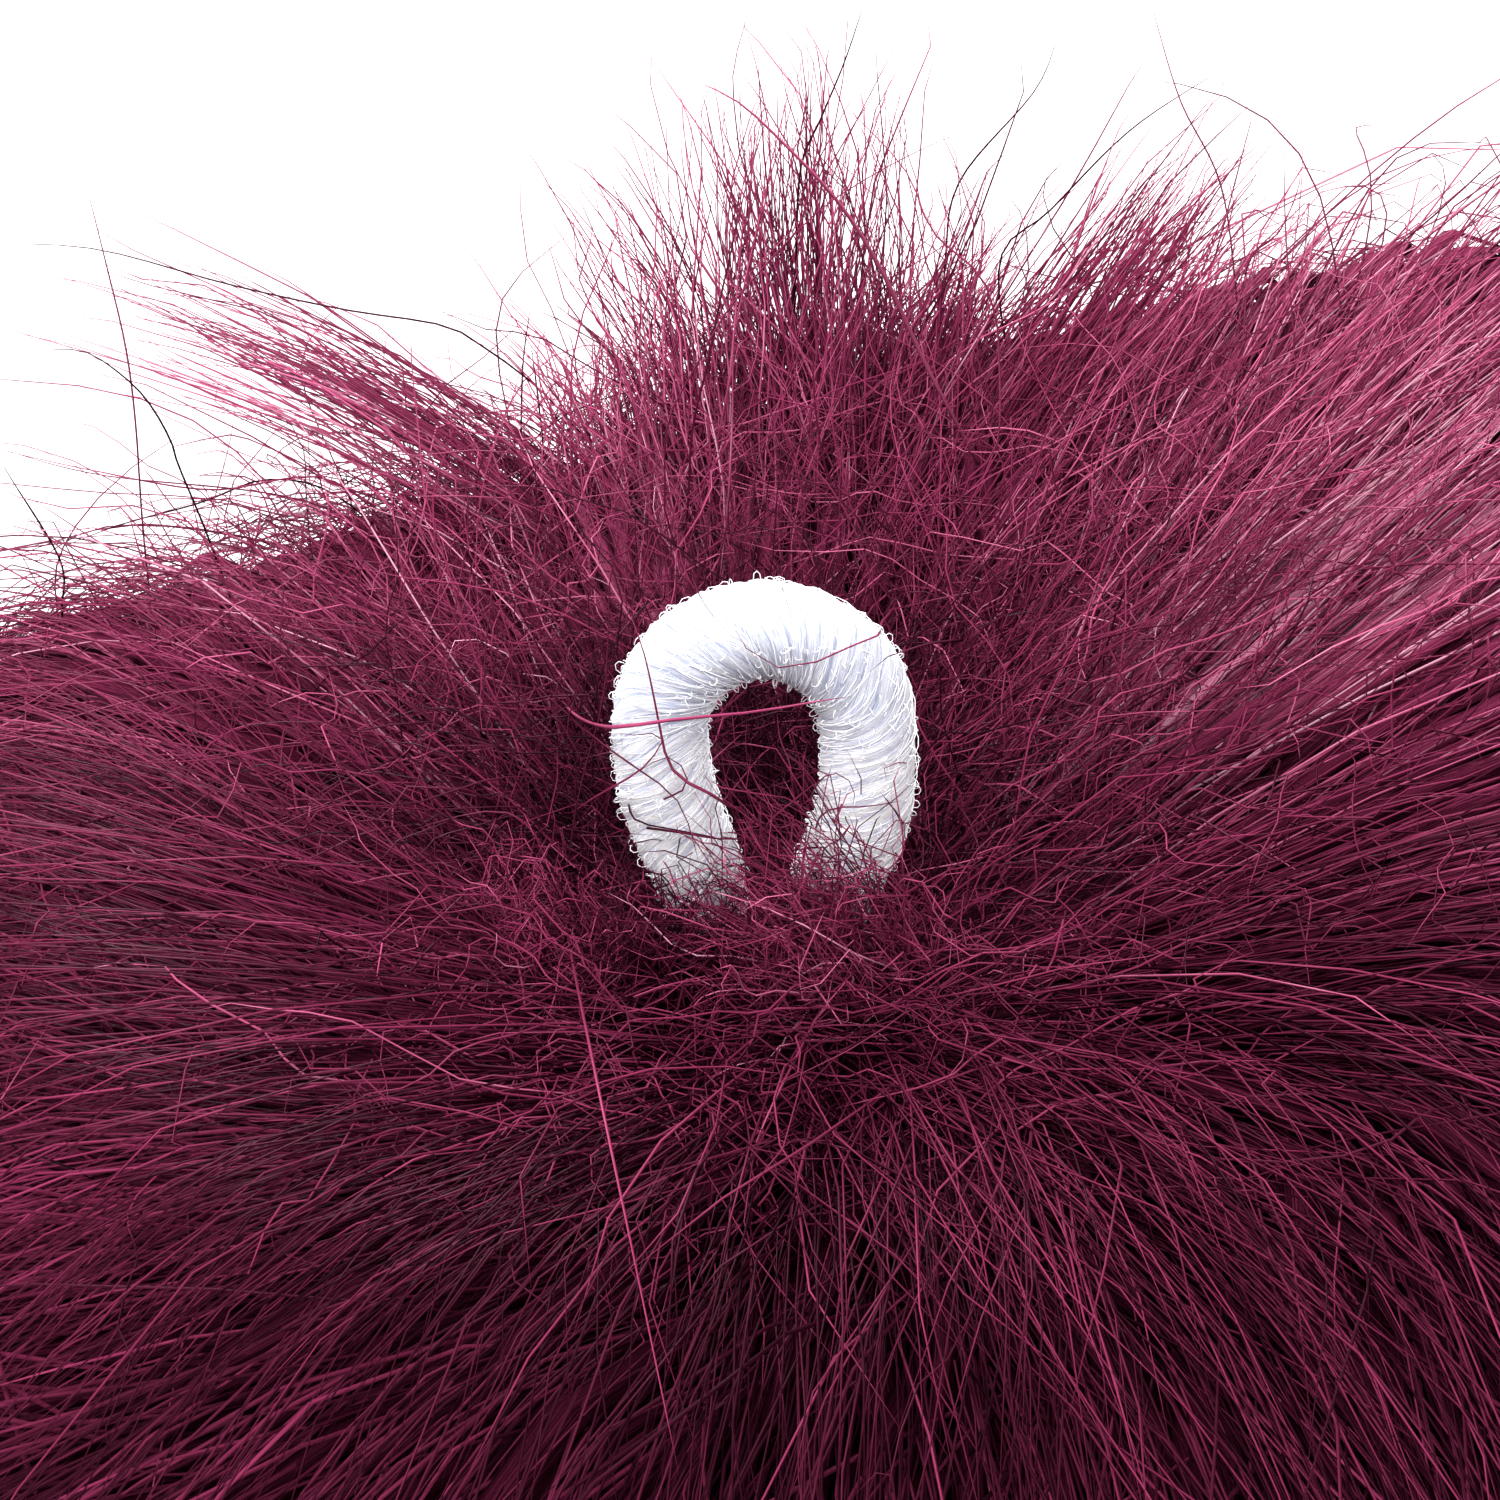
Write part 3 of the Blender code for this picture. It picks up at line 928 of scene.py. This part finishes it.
def underwool():
    """Short curly fibres over the floor and walls of the hollow, and some way up the pile behind it."""
    count = WOOL_HAIRS
    behind = random.uniform(0, 1, count) < WOOL_BEHIND_SHARE
    far = random.uniform(*WOOL_FAR, count)
    near = np.abs(random.normal(0, WOOL_NEAR_SPREAD, count)) + random.uniform(*WOOL_NEAR, count)
    away = np.where(behind, far, near)
    bearing = np.where(behind, random.normal(*WOOL_BACK, count), random.uniform(0, 2 * math.pi, count))
    away *= 1 - WOOL_CLOSER * smooth_step(-np.sin(bearing + CLOSER_TURN), *CLOSER_EDGE)
    root = direction_of(away / FUR_RADIUS, bearing)
    start = fur_surface(root) - root * random.uniform(*WOOL_DEPTHS, count)[:, None]
    outward, aside = compass(root)
    slant = random.normal(0, 1, (count, 3))
    heading = WOOL_OUT * outward + UNEVEN_OUT * slant[:, :1] * outward
    heading = unit(heading + UNEVEN_ASIDE * slant[:, 1:2] * aside + root * WOOL_UP)
    length = random.uniform(*WOOL_LENGTHS, count) * (1 - SHORTER_IN_FRONT * in_front(root))
    wool_piece("underwool", root, start, heading, length, 0.25, WOOL_POINTS, tone=(0.52, 0.16), shade=0.12)


def wool_collar():
    """Curls that stand up close round each foot of the loop, most before it, and lean in from the right."""
    count = COLLAR_HAIRS
    right_wall = random.uniform(0, 1, count) < RIGHT_WALL_SHARE
    foot = np.where(random.uniform(0, 1, count) < 0.5, *FEET)
    round_foot = np.radians(random.normal(*COLLAR_BEARING, count))
    ring = random.uniform(*COLLAR_RING, count)
    x = np.where(right_wall, random.uniform(*RIGHT_WALL_X, count), foot + ring * np.cos(round_foot))
    y = np.where(right_wall, random.uniform(*RIGHT_WALL_Y, count), ring * np.sin(round_foot))
    beside = np.stack((HOLLOW_X + x, HOLLOW_Y + y, np.full(count, HOLLOW_FLOOR_Z)), axis=-1)
    root = unit(beside - BALL_MIDDLE)
    start = fur_surface(root) - root * random.uniform(*COLLAR_DEPTHS, count)[:, None]
    slant = random.normal(0, COLLAR_SLANT, (count, 3))
    slant[:, 0] -= RIGHT_WALL_LEAN * right_wall
    heading = unit(root * COLLAR_UP + slant)
    length = random.uniform(*COLLAR_LENGTHS, count) * np.where(right_wall, LONGER_AT_WALL, 1.0)
    wool_piece("wool_collar", root, start, heading, length, 0, COLLAR_POINTS, tone=(0.66, 0.15), shade=0.30)


wool_collar()
underwool()


# ---- The elastic loop ----------------------------------------------------------------------------
# A doubled length of round elastic: rubber strands inside a cover of fine white polyester filaments,
# wound round it in slanting bundles. Both ends are caught in the gather of the fur.

ELASTIC_DIAMETER = 2.5
FOOT_SHARE = 0.88
FOOT_HEIGHT = 2.4
SEAT_Z = HOLLOW_FLOOR_Z + 0.3
BURIED = 2.6
LOOP_ROUTE = (  # mm across from the middle of the hollow, mm above the seat
    (-1.62, -BURIED),
    (-1.62, -BURIED / 2),
    (-1.62, 0.00),
    (-1.64, 0.25),
    (-1.66, 0.50),
    (-1.88, 1.60),
    (-2.24, 2.60),
    (-2.56, 3.60),
    (-2.76, 4.70),
    (-2.80, 5.85),
    (-2.58, 6.85),
    (-2.00, 7.74),
    (-1.08, 8.36),
    (0.00, 8.56),
    (1.04, 8.34),
    (1.92, 7.70),
    (2.46, 6.82),
    (2.68, 5.80),
    (2.72, 4.60),
    (2.66, 3.50),
    (2.44, 2.50),
    (2.04, 1.45),
    (1.72, 0.50),
    (1.70, 0.25),
    (1.68, 0.00),
    (1.68, -BURIED / 2),
    (1.68, -BURIED),
)
COVER_ROWS, COVER_COLUMNS = 380, 44
BUNDLE_PITCH = 0.45
BUNDLE_STARTS = 8
BUNDLE_HEIGHT = 0.10
BUNDLE_ROUNDNESS, BUNDLE_MIDDLE = 0.7, 0.75
BUNDLE_WANDER = ((0.30, 1.7, 1), (0.16, 5.1, -2))  # bundles, waves along, waves round
COVER_UNEVEN = (0.025, 1.3, 3)  # height, waves along, waves round
BUNDLE_SLOPE = BUNDLE_STARTS * BUNDLE_PITCH / (2 * math.pi)  # mm along for each radian round
LOOP_LENGTH = 28.0
WIND_STRETCH = 11.0  # how far the map wind goes for each bundle, so that its noise has 11 threads in one
ROUND_STRETCH = 1.4  # and how far for each radian round the cord
FILAMENTS, FLUFF, FILAMENT_POINTS = 900, 950, 7
FILAMENT_SPAN, FILAMENT_REACH, FILAMENT_BOW = (0.05, 0.95), (0.7, 2.0), (0.0, 0.09)
FILAMENT_SLOPE_SPREAD, FILAMENT_LIFT, FILAMENT_TUCK = 0.20, 0.015, 0.05
FLUFF_SPAN, FLUFF_TURN, FLUFF_RISE = (0.14, 0.92), 0.85 * math.pi, (0.6, 1.2)
FLUFF_LEAST, FLUFF_MORE, FLUFF_FEW, FLUFF_OFF = 0.05, 0.11, 1.7, 0.6
FLUFF_SLANT = (90, 35)  # degrees, where 90 lies along the cord

# Painted shade of the cover, as (place, colour): with the height, painted shade and pink reflection of the
# fur low down, and greyer at the top; lilac between its threads and between its bundles
PAINTED_SHADE_BY_HEIGHT = (
    (0.0, (0.84, 0.68, 0.82)),
    (0.25, (1.0, 0.97, 1.0)),
    (0.72, (0.98, 0.97, 1.0)),
    (1.0, (0.67, 0.69, 0.76)),
)
SHADED_HEIGHT = 7.0
THREAD_GROOVE_SHADE = ((0.37, (0.70, 0.74, 0.90)), (0.48, (1.0, 1.0, 1.0)))
BUNDLE_GROOVE_SHADE = ((0.0, (0.66, 0.70, 0.84)), (0.24, (1.0, 1.0, 1.0)))


def smooth_route(points, count):
    """Points evenly spaced along the Catmull-Rom curve through the given ones."""
    padded = np.vstack((2 * points[0] - points[1], points, 2 * points[-1] - points[-2]))
    before, start, end, after = padded[:-3], padded[1:-2], padded[2:-1], padded[3:]
    t = np.linspace(0, 1, 24, endpoint=False)[:, None, None]
    fine = 0.5 * (
        2 * start
        + (end - before) * t
        + (2 * before - 5 * start + 4 * end - after) * t**2
        + (3 * start - before - 3 * end + after) * t**3
    )
    fine = np.vstack((fine.transpose(1, 0, 2).reshape(-1, points.shape[1]), points[-1:]))
    far = np.concatenate(([0], np.cumsum(np.linalg.norm(np.diff(fine, axis=0), axis=1))))
    wanted = np.linspace(0, far[-1], count)
    return np.stack([np.interp(wanted, far, fine[:, axis]) for axis in range(points.shape[1])], axis=-1)


def loop_line(count):
    """The loop's centreline and its direction, evenly spaced, and the distance along it."""
    flat = smooth_route(np.array(LOOP_ROUTE), count)
    line = np.stack((HOLLOW_X + flat[:, 0], np.full(count, HOLLOW_Y), SEAT_Z + flat[:, 1]), axis=-1)
    along = np.concatenate(([0], np.cumsum(np.linalg.norm(np.diff(line, axis=0), axis=1))))
    return line, unit(np.gradient(line, axis=0)), along


def cover_point(share, around, lift):
    """A point on the cover: share of the loop's length, angle round it, and how far it stands off the cover.

    The elastic is drawn in at its feet, to FOOT_SHARE of its thickness.
    """
    line, ahead, _ = loop_line(COVER_ROWS)
    place, rows = np.clip(share, 0, 1) * (COVER_ROWS - 1), np.arange(COVER_ROWS)
    middle, along = (
        np.stack([np.interp(place, rows, values[:, axis]) for axis in range(3)], axis=-1)
        for values in (line, ahead)
    )
    facing = np.array((0.0, -1.0, 0.0))
    outward = unit(np.cross(facing, along))
    ray = np.cos(around)[..., None] * outward + np.sin(around)[..., None] * facing
    drawn_in = FOOT_SHARE + (1 - FOOT_SHARE) * smooth_step(middle[..., 2] - SEAT_Z, 0, FOOT_HEIGHT)
    return middle + ray * (ELASTIC_DIAMETER / 2 * drawn_in + lift)[..., None]


def elastic_material():
    """White polyester, with painted shade and pink reflection of the fur low down, greyer painted shade at
    the top, and lilac painted shade in the grooves, with the threads of a bundle as bump.
    """
    material, tree, shader = principled("white_elastic_cover", roughness=0.55, specular=0.3, sheen=0.15)
    glow = {"Subsurface Weight": 0.5, "Subsurface Radius": (1.0, 1.0, 1.0), "Subsurface Scale": 1.2 * MM}
    place = node(tree, "TexCoord", {}).outputs["Object"]
    z = node(tree, "SeparateXYZ", {"Vector": place}).outputs["Z"]
    heights = {"Value": z, "From Min": SEAT_Z * MM, "From Max": (SEAT_Z + SHADED_HEIGHT) * MM}
    height = node(tree, "MapRange", heights).outputs["Result"]
    wind = node(tree, "UVMap", {}, uv_map="wind").outputs["UV"]
    noise = {"Vector": wind, "Scale": 1.0, "Detail": 3.0}
    threads = node(tree, "TexNoise", noise, noise_dimensions="2D").outputs["Fac"]
    wave = node(tree, "SeparateXYZ", {"Vector": wind}).outputs["X"]
    for operation, value in (("MULTIPLY", math.pi / WIND_STRETCH), ("SINE", 0.0), ("ABSOLUTE", 0.0)):
        wave = maths(tree, operation, wave, value)
    colour = ramp(tree, height, PAINTED_SHADE_BY_HEIGHT)
    for factor, groove_shade in ((threads, THREAD_GROOVE_SHADE), (wave, BUNDLE_GROOVE_SHADE)):
        colour = times(tree, colour, ramp(tree, factor, groove_shade))
    normal = bump(tree, threads, strength=1.0, distance=0.07)
    feed(tree, shader, {"Base Color": colour, "Normal": normal, **glow})
    return material


def filament_material():
    """Single white filaments: the same white, with no pattern."""
    material, _, shader = principled("white_filament", roughness=0.5, specular=0.35, sheen=0.15)
    shader.inputs["Base Color"].default_value = (0.96, 0.96, 1.0, 1)
    return material


WHITE_COVER = elastic_material()
WHITE_FILAMENT = filament_material()


def bundle_count(far, angle):
    """Which bundle a place on the cover is in: far / pitch - starts * angle / (2 pi), plus a slow wander."""
    wander = sum(amount * np.sin(along * far + turns * angle) for amount, along, turns in BUNDLE_WANDER)
    return far / BUNDLE_PITCH - BUNDLE_STARTS * angle / (2 * math.pi) + wander


def elastic_cover():
    """The tube of the cover: the cord's radius plus BUNDLE_STARTS ridges that wind round it side by side.

    A ridge stands where bundle_count is a whole number and a half. The seam of the map wind, which holds
    that number times WIND_STRETCH and the angle times ROUND_STRETCH, is at the back.
    """
    line, _, along = loop_line(COVER_ROWS)
    around = -math.pi / 2 + np.arange(COVER_COLUMNS) * 2 * math.pi / COVER_COLUMNS
    far, angle = np.meshgrid(along, around, indexing="ij")
    ridge = np.abs(np.sin(math.pi * bundle_count(far, angle)))
    height, waves_along, waves_round = COVER_UNEVEN
    lift = BUNDLE_HEIGHT * (ridge**BUNDLE_ROUNDNESS - BUNDLE_MIDDLE)
    lift += height * np.sin(waves_round * angle + waves_along * far)
    share = np.broadcast_to(np.linspace(0, 1, COVER_ROWS)[:, None], angle.shape)
    points = cover_point(share, angle, lift)
    points = np.concatenate((points.reshape(-1, 3), line[:1], line[-1:]))
    quads, fans = closed_grid_faces(COVER_ROWS, COVER_COLUMNS)
    piece, _ = new_piece("elastic_cover", points, (quads[:, ::-1], fans[:, ::-1]), WHITE_COVER)
    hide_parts("elastic_loop")

    row, column = np.meshgrid(np.arange(COVER_ROWS - 1), np.arange(COVER_COLUMNS), indexing="ij")
    rows = np.stack((row, row, row + 1, row + 1), axis=-1).reshape(-1, 4)[:, ::-1]
    columns = np.stack((column, column + 1, column + 1, column), axis=-1).reshape(-1, 4)[:, ::-1]
    angle = -math.pi / 2 + columns * 2 * math.pi / COVER_COLUMNS
    sides = np.stack((bundle_count(along[rows], angle) * WIND_STRETCH, angle * ROUND_STRETCH), axis=-1)
    place = np.concatenate((sides.reshape(-1, 2), np.zeros((fans.size, 2)))).astype(np.float32)
    piece.data.uv_layers.new(name="wind").data.foreach_set("uv", place.ravel())


def filament_piece(name, path, tone, width):
    """White filaments along the paths, as wide from end to end."""
    count, points = path.shape[:2]
    tones, widths = random.uniform(*tone, count), random.uniform(*width, count)
    thread_piece(name, path, widths, tones, np.ones(points), WHITE_FILAMENT, "elastic")


def wound_filaments():
    """Single filaments on the cover: arcs round it that follow the bundles, each with its own small lift."""
    column = (FILAMENTS, 1)
    share = random.uniform(*FILAMENT_SPAN, column)
    around = random.uniform(0, 2 * math.pi, column)
    s = np.linspace(-0.5, 0.5, FILAMENT_POINTS)[None, :]
    reach = random.uniform(*FILAMENT_REACH, column)
    slope = random.normal(BUNDLE_SLOPE, FILAMENT_SLOPE_SPREAD, column)
    bow = random.uniform(*FILAMENT_BOW, column) * (1 - (2 * s) ** 2)
    lift = FILAMENT_LIFT + bow - FILAMENT_TUCK * (2 * s) ** 4
    path = cover_point(share + slope * s * reach / LOOP_LENGTH, around + reach * s, lift)
    filament_piece("elastic_filaments", path, tone=(0.4, 0.9), width=(0.018, 0.032))


def loose_filaments():
    """Fluff of the cover: small open loops of filament, which stand off it and bend back to it."""
    column = (FLUFF, 1)
    share = random.uniform(*FLUFF_SPAN, column)
    around = random.uniform(0, 2 * math.pi, column)
    turn = np.linspace(-FLUFF_TURN, FLUFF_TURN, FILAMENT_POINTS)[None, :]
    size = FLUFF_LEAST + FLUFF_MORE * random.uniform(0, 1, column) ** FLUFF_FEW
    lift = size * random.uniform(*FLUFF_RISE, column) * (np.cos(turn) + FLUFF_OFF)
    slant = np.radians(random.normal(*FLUFF_SLANT, column))
    along, across = size * np.sin(turn) * np.sin(slant), size * np.sin(turn) * np.cos(slant)
    path = cover_point(share + along / LOOP_LENGTH, around + across / (ELASTIC_DIAMETER / 2), lift)
    filament_piece("elastic_fluff", path, tone=(0.5, 1.0), width=(0.018, 0.028))


elastic_cover()
wound_filaments()
loose_filaments()


# ---- The single hairs ----------------------------------------------------------------------------
# Loose hairs that stand out one by one: some high over the outline, some across the loop. Each has its
# root in the fur, where the camera's line of sight through it meets the pile.

VIEW_TARGET = np.array((-10.4, -4.0, 100.9))
VIEW_DISTANCE = 74.0
VIEW_ELEVATION = math.radians(28)
VIEW_ANGLE = math.radians(30)
PHOTO_SIDE = 1500
VIEW_AHEAD = np.array((0.0, math.cos(VIEW_ELEVATION), -math.sin(VIEW_ELEVATION)))
VIEW_UP = np.array((0.0, math.sin(VIEW_ELEVATION), math.cos(VIEW_ELEVATION)))
VIEW_FROM = VIEW_TARGET - VIEW_DISTANCE * VIEW_AHEAD
LOOP_FRONT_Y = HOLLOW_Y - ELASTIC_DIAMETER / 2
SINGLE_POINTS = 24
SIGHT_STEPS = np.linspace(40, 120, 3200)[:, None]
SUNK = 1.8
WIDENED = 1.5  # the single hairs are wider than the table says, to stand out as in the photo

# Hairs over the outline: tone, width, how far the tip leans to the back, and pixels from the root on
OUTLINE_HAIRS = (
    (0.20, 0.050, -3, ((600, 455), (540, 390), (480, 345), (440, 325), (345, 310), (230, 285), (100, 250),
        (0, 243))),
    (0.62, 0.045, 0, ((150, 600), (142, 520), (135, 420), (125, 345), (105, 260), (85, 180))),
    (0.05, 0.050, 0, ((235, 610), (205, 530), (178, 465), (170, 440), (150, 405), (125, 378), (85, 352),
        (40, 350))),
    (0.40, 0.055, 0, ((682, 560), (688, 500), (692, 430), (708, 360), (722, 290), (735, 230),
        (740, 175))),
    (0.78, 0.055, 0, ((719, 590), (728, 500), (732, 420), (733, 345))),
    (0.50, 0.036, 0, ((700, 600), (668, 525), (665, 483), (668, 422), (699, 361), (730, 307), (791, 238),
        (833, 200), (900, 160), (965, 130))),
    (0.66, 0.045, 0, ((975, 560), (963, 506), (965, 483), (997, 445), (999, 353), (994, 311), (978, 273),
        (932, 231), (905, 170), (840, 100))),
    (0.74, 0.085, -4, ((985, 475), (976, 459), (927, 367), (887, 281), (841, 206), (778, 138), (735, 100),
        (692, 80))),
    (0.55, 0.040, 0, ((850, 530), (824, 462), (814, 396), (812, 347), (795, 337), (786, 313), (778, 267),
        (766, 229), (752, 189), (740, 155), (736, 123), (733, 89), (735, 60), (752, 0))),
    (0.12, 0.050, 0, ((546, 475), (544, 456), (538, 400), (531, 345))),
    (0.18, 0.045, 0, ((520, 480), (521, 420), (523, 361), (531, 303))),
    (0.15, 0.060, 4, ((790, 400), (795, 280), (800, 170), (820, 120), (845, 60), (865, 0))),
    (0.25, 0.050, 4, ((940, 380), (945, 260), (960, 180), (1035, 90), (1060, 30))),
    (0.25, 0.050, 4, ((1010, 380), (1000, 260), (1050, 210), (1130, 130), (1220, 70))),
    (0.55, 0.040, 4, ((1235, 330), (1250, 260), (1280, 230), (1300, 180), (1290, 165))),
    (0.60, 0.040, 2, ((1240, 330), (1222, 190), (1180, 100), (1150, 0))),
    (0.60, 0.045, 0, ((420, 560), (330, 480), (210, 490), (90, 470), (0, 450))),
    (0.06, 0.045, 0, ((62, 625), (62, 605), (60, 560), (12, 480), (0, 460))),
    (0.06, 0.045, 0, ((400, 548), (330, 492), (265, 480), (200, 503), (120, 525), (57, 549))),
    (0.45, 0.040, 0, ((430, 562), (300, 500), (100, 475), (-10, 446))),
    (0.35, 0.045, 0, ((1050, 550), (1064, 533), (1114, 468), (1168, 407), (1233, 334), (1263, 300))),
    (0.93, 0.075, -6, ((1235, 496), (1265, 503), (1302, 510), (1370, 524), (1443, 535), (1510, 562))),
    (0.70, 0.040, 0, ((1190, 510), (1196, 484), (1225, 426), (1229, 407), (1217, 376))),
    (0.62, 0.048, -28, ((560, 885), (570, 950), (590, 1050), (630, 1240), (680, 1480))),
    (0.66, 0.045, -15, ((850, 935), (838, 975), (805, 1040), (770, 1110), (735, 1195))),
)

# Hairs across the loop: tone, width, how far before the loop's front they pass, and pixels from the root on
LOOP_HAIRS = (
    (0.62, 0.060, 0.5, ((762, 885), (746, 817), (728, 806), (710, 794), (688, 783), (674, 772),
        (665, 754), (659, 725), (651, 685), (644, 654), (631, 616))),
    (0.68, 0.080, 2.0, ((560, 700), (580, 718), (612, 727), (664, 721), (702, 717), (755, 712),
        (802, 704), (853, 696))),
    (0.50, 0.050, 0.3, ((905, 590), (890, 613), (882, 622), (878, 635), (865, 643), (838, 650),
        (820, 660), (800, 669), (775, 667), (755, 656), (742, 643), (728, 617))),
    (0.25, 0.055, 0.2, ((965, 640), (934, 643), (911, 649), (887, 657), (874, 664), (867, 674))),
    (0.30, 0.030, 0.1, ((690, 570), (699, 594), (711, 614), (724, 629), (742, 646))),
    (0.22, 0.026, 0.1, ((775, 565), (782, 587), (789, 609), (794, 631), (795, 644))),
    (0.42, 0.045, 0.4, ((600, 835), (635, 808), (664, 799), (686, 788), (688, 781), (681, 765),
        (668, 757), (655, 761), (640, 771))),
    (0.40, 0.042, 0.3, ((560, 712), (590, 734), (608, 748), (639, 770), (661, 785), (679, 803),
        (688, 823), (693, 839), (700, 868))),
    (0.55, 0.045, 0.3, ((570, 815), (590, 801), (608, 790), (635, 774), (650, 761), (662, 743),
        (661, 733), (635, 735), (615, 733))),
    (0.15, 0.050, 0.3, ((612, 752), (626, 785), (630, 812), (641, 823), (675, 830), (713, 837),
        (733, 846))),
    (0.35, 0.048, 0.5, ((598, 840), (635, 828), (679, 832), (724, 839), (768, 837), (800, 852))),
    (0.45, 0.040, 0.3, ((800, 862), (810, 800), (824, 777), (840, 774), (851, 783), (855, 797),
        (853, 808))),
    (0.50, 0.042, 0.4, ((935, 805), (911, 768), (900, 763), (887, 765), (882, 776), (887, 783))),
    (0.48, 0.045, 0.4, ((800, 872), (813, 837), (820, 817), (835, 808), (858, 807), (878, 805),
        (905, 800))),
    (0.15, 0.065, 0.5, ((918, 855), (898, 815), (880, 792))),
    (0.60, 0.045, -2.6, ((800, 850), (793, 790), (789, 761), (780, 739), (777, 714))),
    (0.66, 0.045, -2.6, ((700, 800), (711, 764), (724, 750), (744, 732))),
    (0.50, 0.045, -2.6, ((738, 835), (730, 794), (724, 772), (722, 752))),
    (0.55, 0.045, 0.2, ((752, 860), (769, 823), (791, 803), (813, 785), (826, 779))),
)


def sight_line(pixels):
    """For each pixel of the photo, the way that the camera looks through it, one unit deep."""
    half = PHOTO_SIDE / 2
    across, down = (np.asarray(pixels, float) / half - 1).T * math.tan(VIEW_ANGLE / 2)
    return across[..., None] * np.array((1.0, 0.0, 0.0)) - down[..., None] * VIEW_UP + VIEW_AHEAD


def root_in_fur(pixel):
    """The first point of a sight line that is nearer the ball's middle than the pile is, then SUNK on."""
    ray = sight_line([pixel])[0]
    steps = SIGHT_STEPS * ray
    from_middle = VIEW_FROM + steps - BALL_MIDDLE
    outside = fur_surface(unit(from_middle)) - BALL_MIDDLE
    inside = np.linalg.norm(from_middle, axis=1) < np.linalg.norm(outside, axis=1)
    return VIEW_FROM + steps[np.argmax(inside)] + unit(ray) * SUNK


def hair_through(pixels, tip_y, quickly):
    """A smooth path from the root in the fur through the pixels, while y goes from the root's to tip_y."""
    root = root_in_fur(pixels[0])
    rays = sight_line(pixels)
    share = smooth_step(np.linspace(0, 1, len(pixels)), 0, quickly)
    y = root[1] + (tip_y(root[1]) - root[1]) * share
    path = VIEW_FROM + rays * ((y - VIEW_FROM[1]) / rays[:, 1])[:, None]
    path[0] = root
    return smooth_route(path, SINGLE_POINTS)


def single_hairs(name, rows, paths):
    """The hairs of a table, as one piece."""
    widths = np.array([row[1] for row in rows]) * WIDENED
    tones = np.array([row[0] for row in rows])
    thread_piece(name, np.stack(paths), widths, tones, smooth_taper(SINGLE_POINTS), WINE_HAIR, start=0.3)


over_outline = [hair_through(row[3], lambda y: y + row[2], quickly=1.0) for row in OUTLINE_HAIRS]
across_loop = [hair_through(row[3], lambda y: LOOP_FRONT_Y - row[2], quickly=0.3) for row in LOOP_HAIRS]
single_hairs("hairs_over_outline", OUTLINE_HAIRS, over_outline)
single_hairs("hairs_across_loop", LOOP_HAIRS, across_loop)


# ---- The camera, floor and light -----------------------------------------------------------------
# The camera looks down on the gather, as in the photo. The floor is plain and pale, and the light is
# a white studio's, from all round and stronger from above and behind.

SKY_STRENGTH = 0.94
SKY_SLOPE = (-0.06, 0.12, 0.18)  # how much stronger the light is from the back and from above
SPOT_ANGLE = math.radians(18)
SPOT_BLEND = 0.7
FLOOR_HALF = 25.0
SENSOR = 36
AIM = (-0.01, 0.0, 0.1)
LAMPS = (
    # name, kind, place in metres, size in metres, watts
    ("back_spot", "SPOT", (-0.08, 0.56, 0.44), 0.07, 12.0),
    ("high_back_light", "AREA", (0.05, 0.45, 1.10), 0.40, 11.0),
    ("left_top_light", "AREA", (-0.34, -0.16, 0.62), 0.35, 5.0),
    ("front_light", "AREA", (0.12, -0.50, 0.48), 0.40, 2.6),
)


def put(name, data):
    """A new object of the studio, in the scene."""
    made = bpy.data.objects.new(name, data)
    bpy.context.scene.collection.objects.link(made)
    return made


def studio():
    """The photo's view, a floor, a white sky, stronger along SKY_SLOPE, and lamps aimed at the gather."""
    camera = put("camera", bpy.data.cameras.new("camera"))
    camera.data.sensor_width = SENSOR
    camera.data.lens = SENSOR / 2 / math.tan(VIEW_ANGLE / 2)
    camera.data.clip_start = 5 * MM
    camera.data.clip_end = 60
    camera.location = VIEW_FROM * MM
    camera.rotation_euler = (math.pi / 2 - VIEW_ELEVATION, 0, 0)
    bpy.context.scene.camera = camera

    floor_mesh = bpy.data.meshes.new("floor")
    corners = [(-1, -1), (1, -1), (1, 1), (-1, 1)]
    floor_mesh.from_pydata([(x * FLOOR_HALF, y * FLOOR_HALF, 0) for x, y in corners], [], [(0, 1, 2, 3)])
    floor_paint, _, shader = principled("white_floor", roughness=0.9, specular=0.0)
    shader.inputs["Base Color"].default_value = (0.80, 0.80, 0.80, 1)
    floor_mesh.materials.append(floor_paint)
    floor = put("floor", floor_mesh)

    world = bpy.data.worlds.new("white_studio")
    world.use_nodes = True
    tree = world.node_tree
    way = node(tree, "TexCoord", {}).outputs["Generated"]
    slope = node(tree, "VectorMath", {0: way, 1: SKY_SLOPE}, operation="DOT_PRODUCT").outputs["Value"]
    strength = maths(tree, "ADD", slope, SKY_STRENGTH)
    feed(tree, tree.nodes["Background"], {"Color": (1, 1, 1, 1), "Strength": strength})
    bpy.context.scene.world = world

    for name, kind, place, size, watts in LAMPS:
        light = bpy.data.lights.new(name, kind)
        if kind == "AREA":
            light.shape = "DISK"
            light.size = size
        else:
            light.shadow_soft_size = size
            light.spot_size = SPOT_ANGLE
            light.spot_blend = SPOT_BLEND
        light.energy = watts
        lamp = put(name, light)
        lamp.location = place
        aim = np.array(AIM) - np.array(place)
        tilt, turn = math.acos(-aim[2] / np.linalg.norm(aim)), math.atan2(aim[1], aim[0]) - math.pi / 2
        lamp.rotation_euler = (tilt, 0, turn)
    bpy.context.scene.view_settings.view_transform = "Standard"


studio()
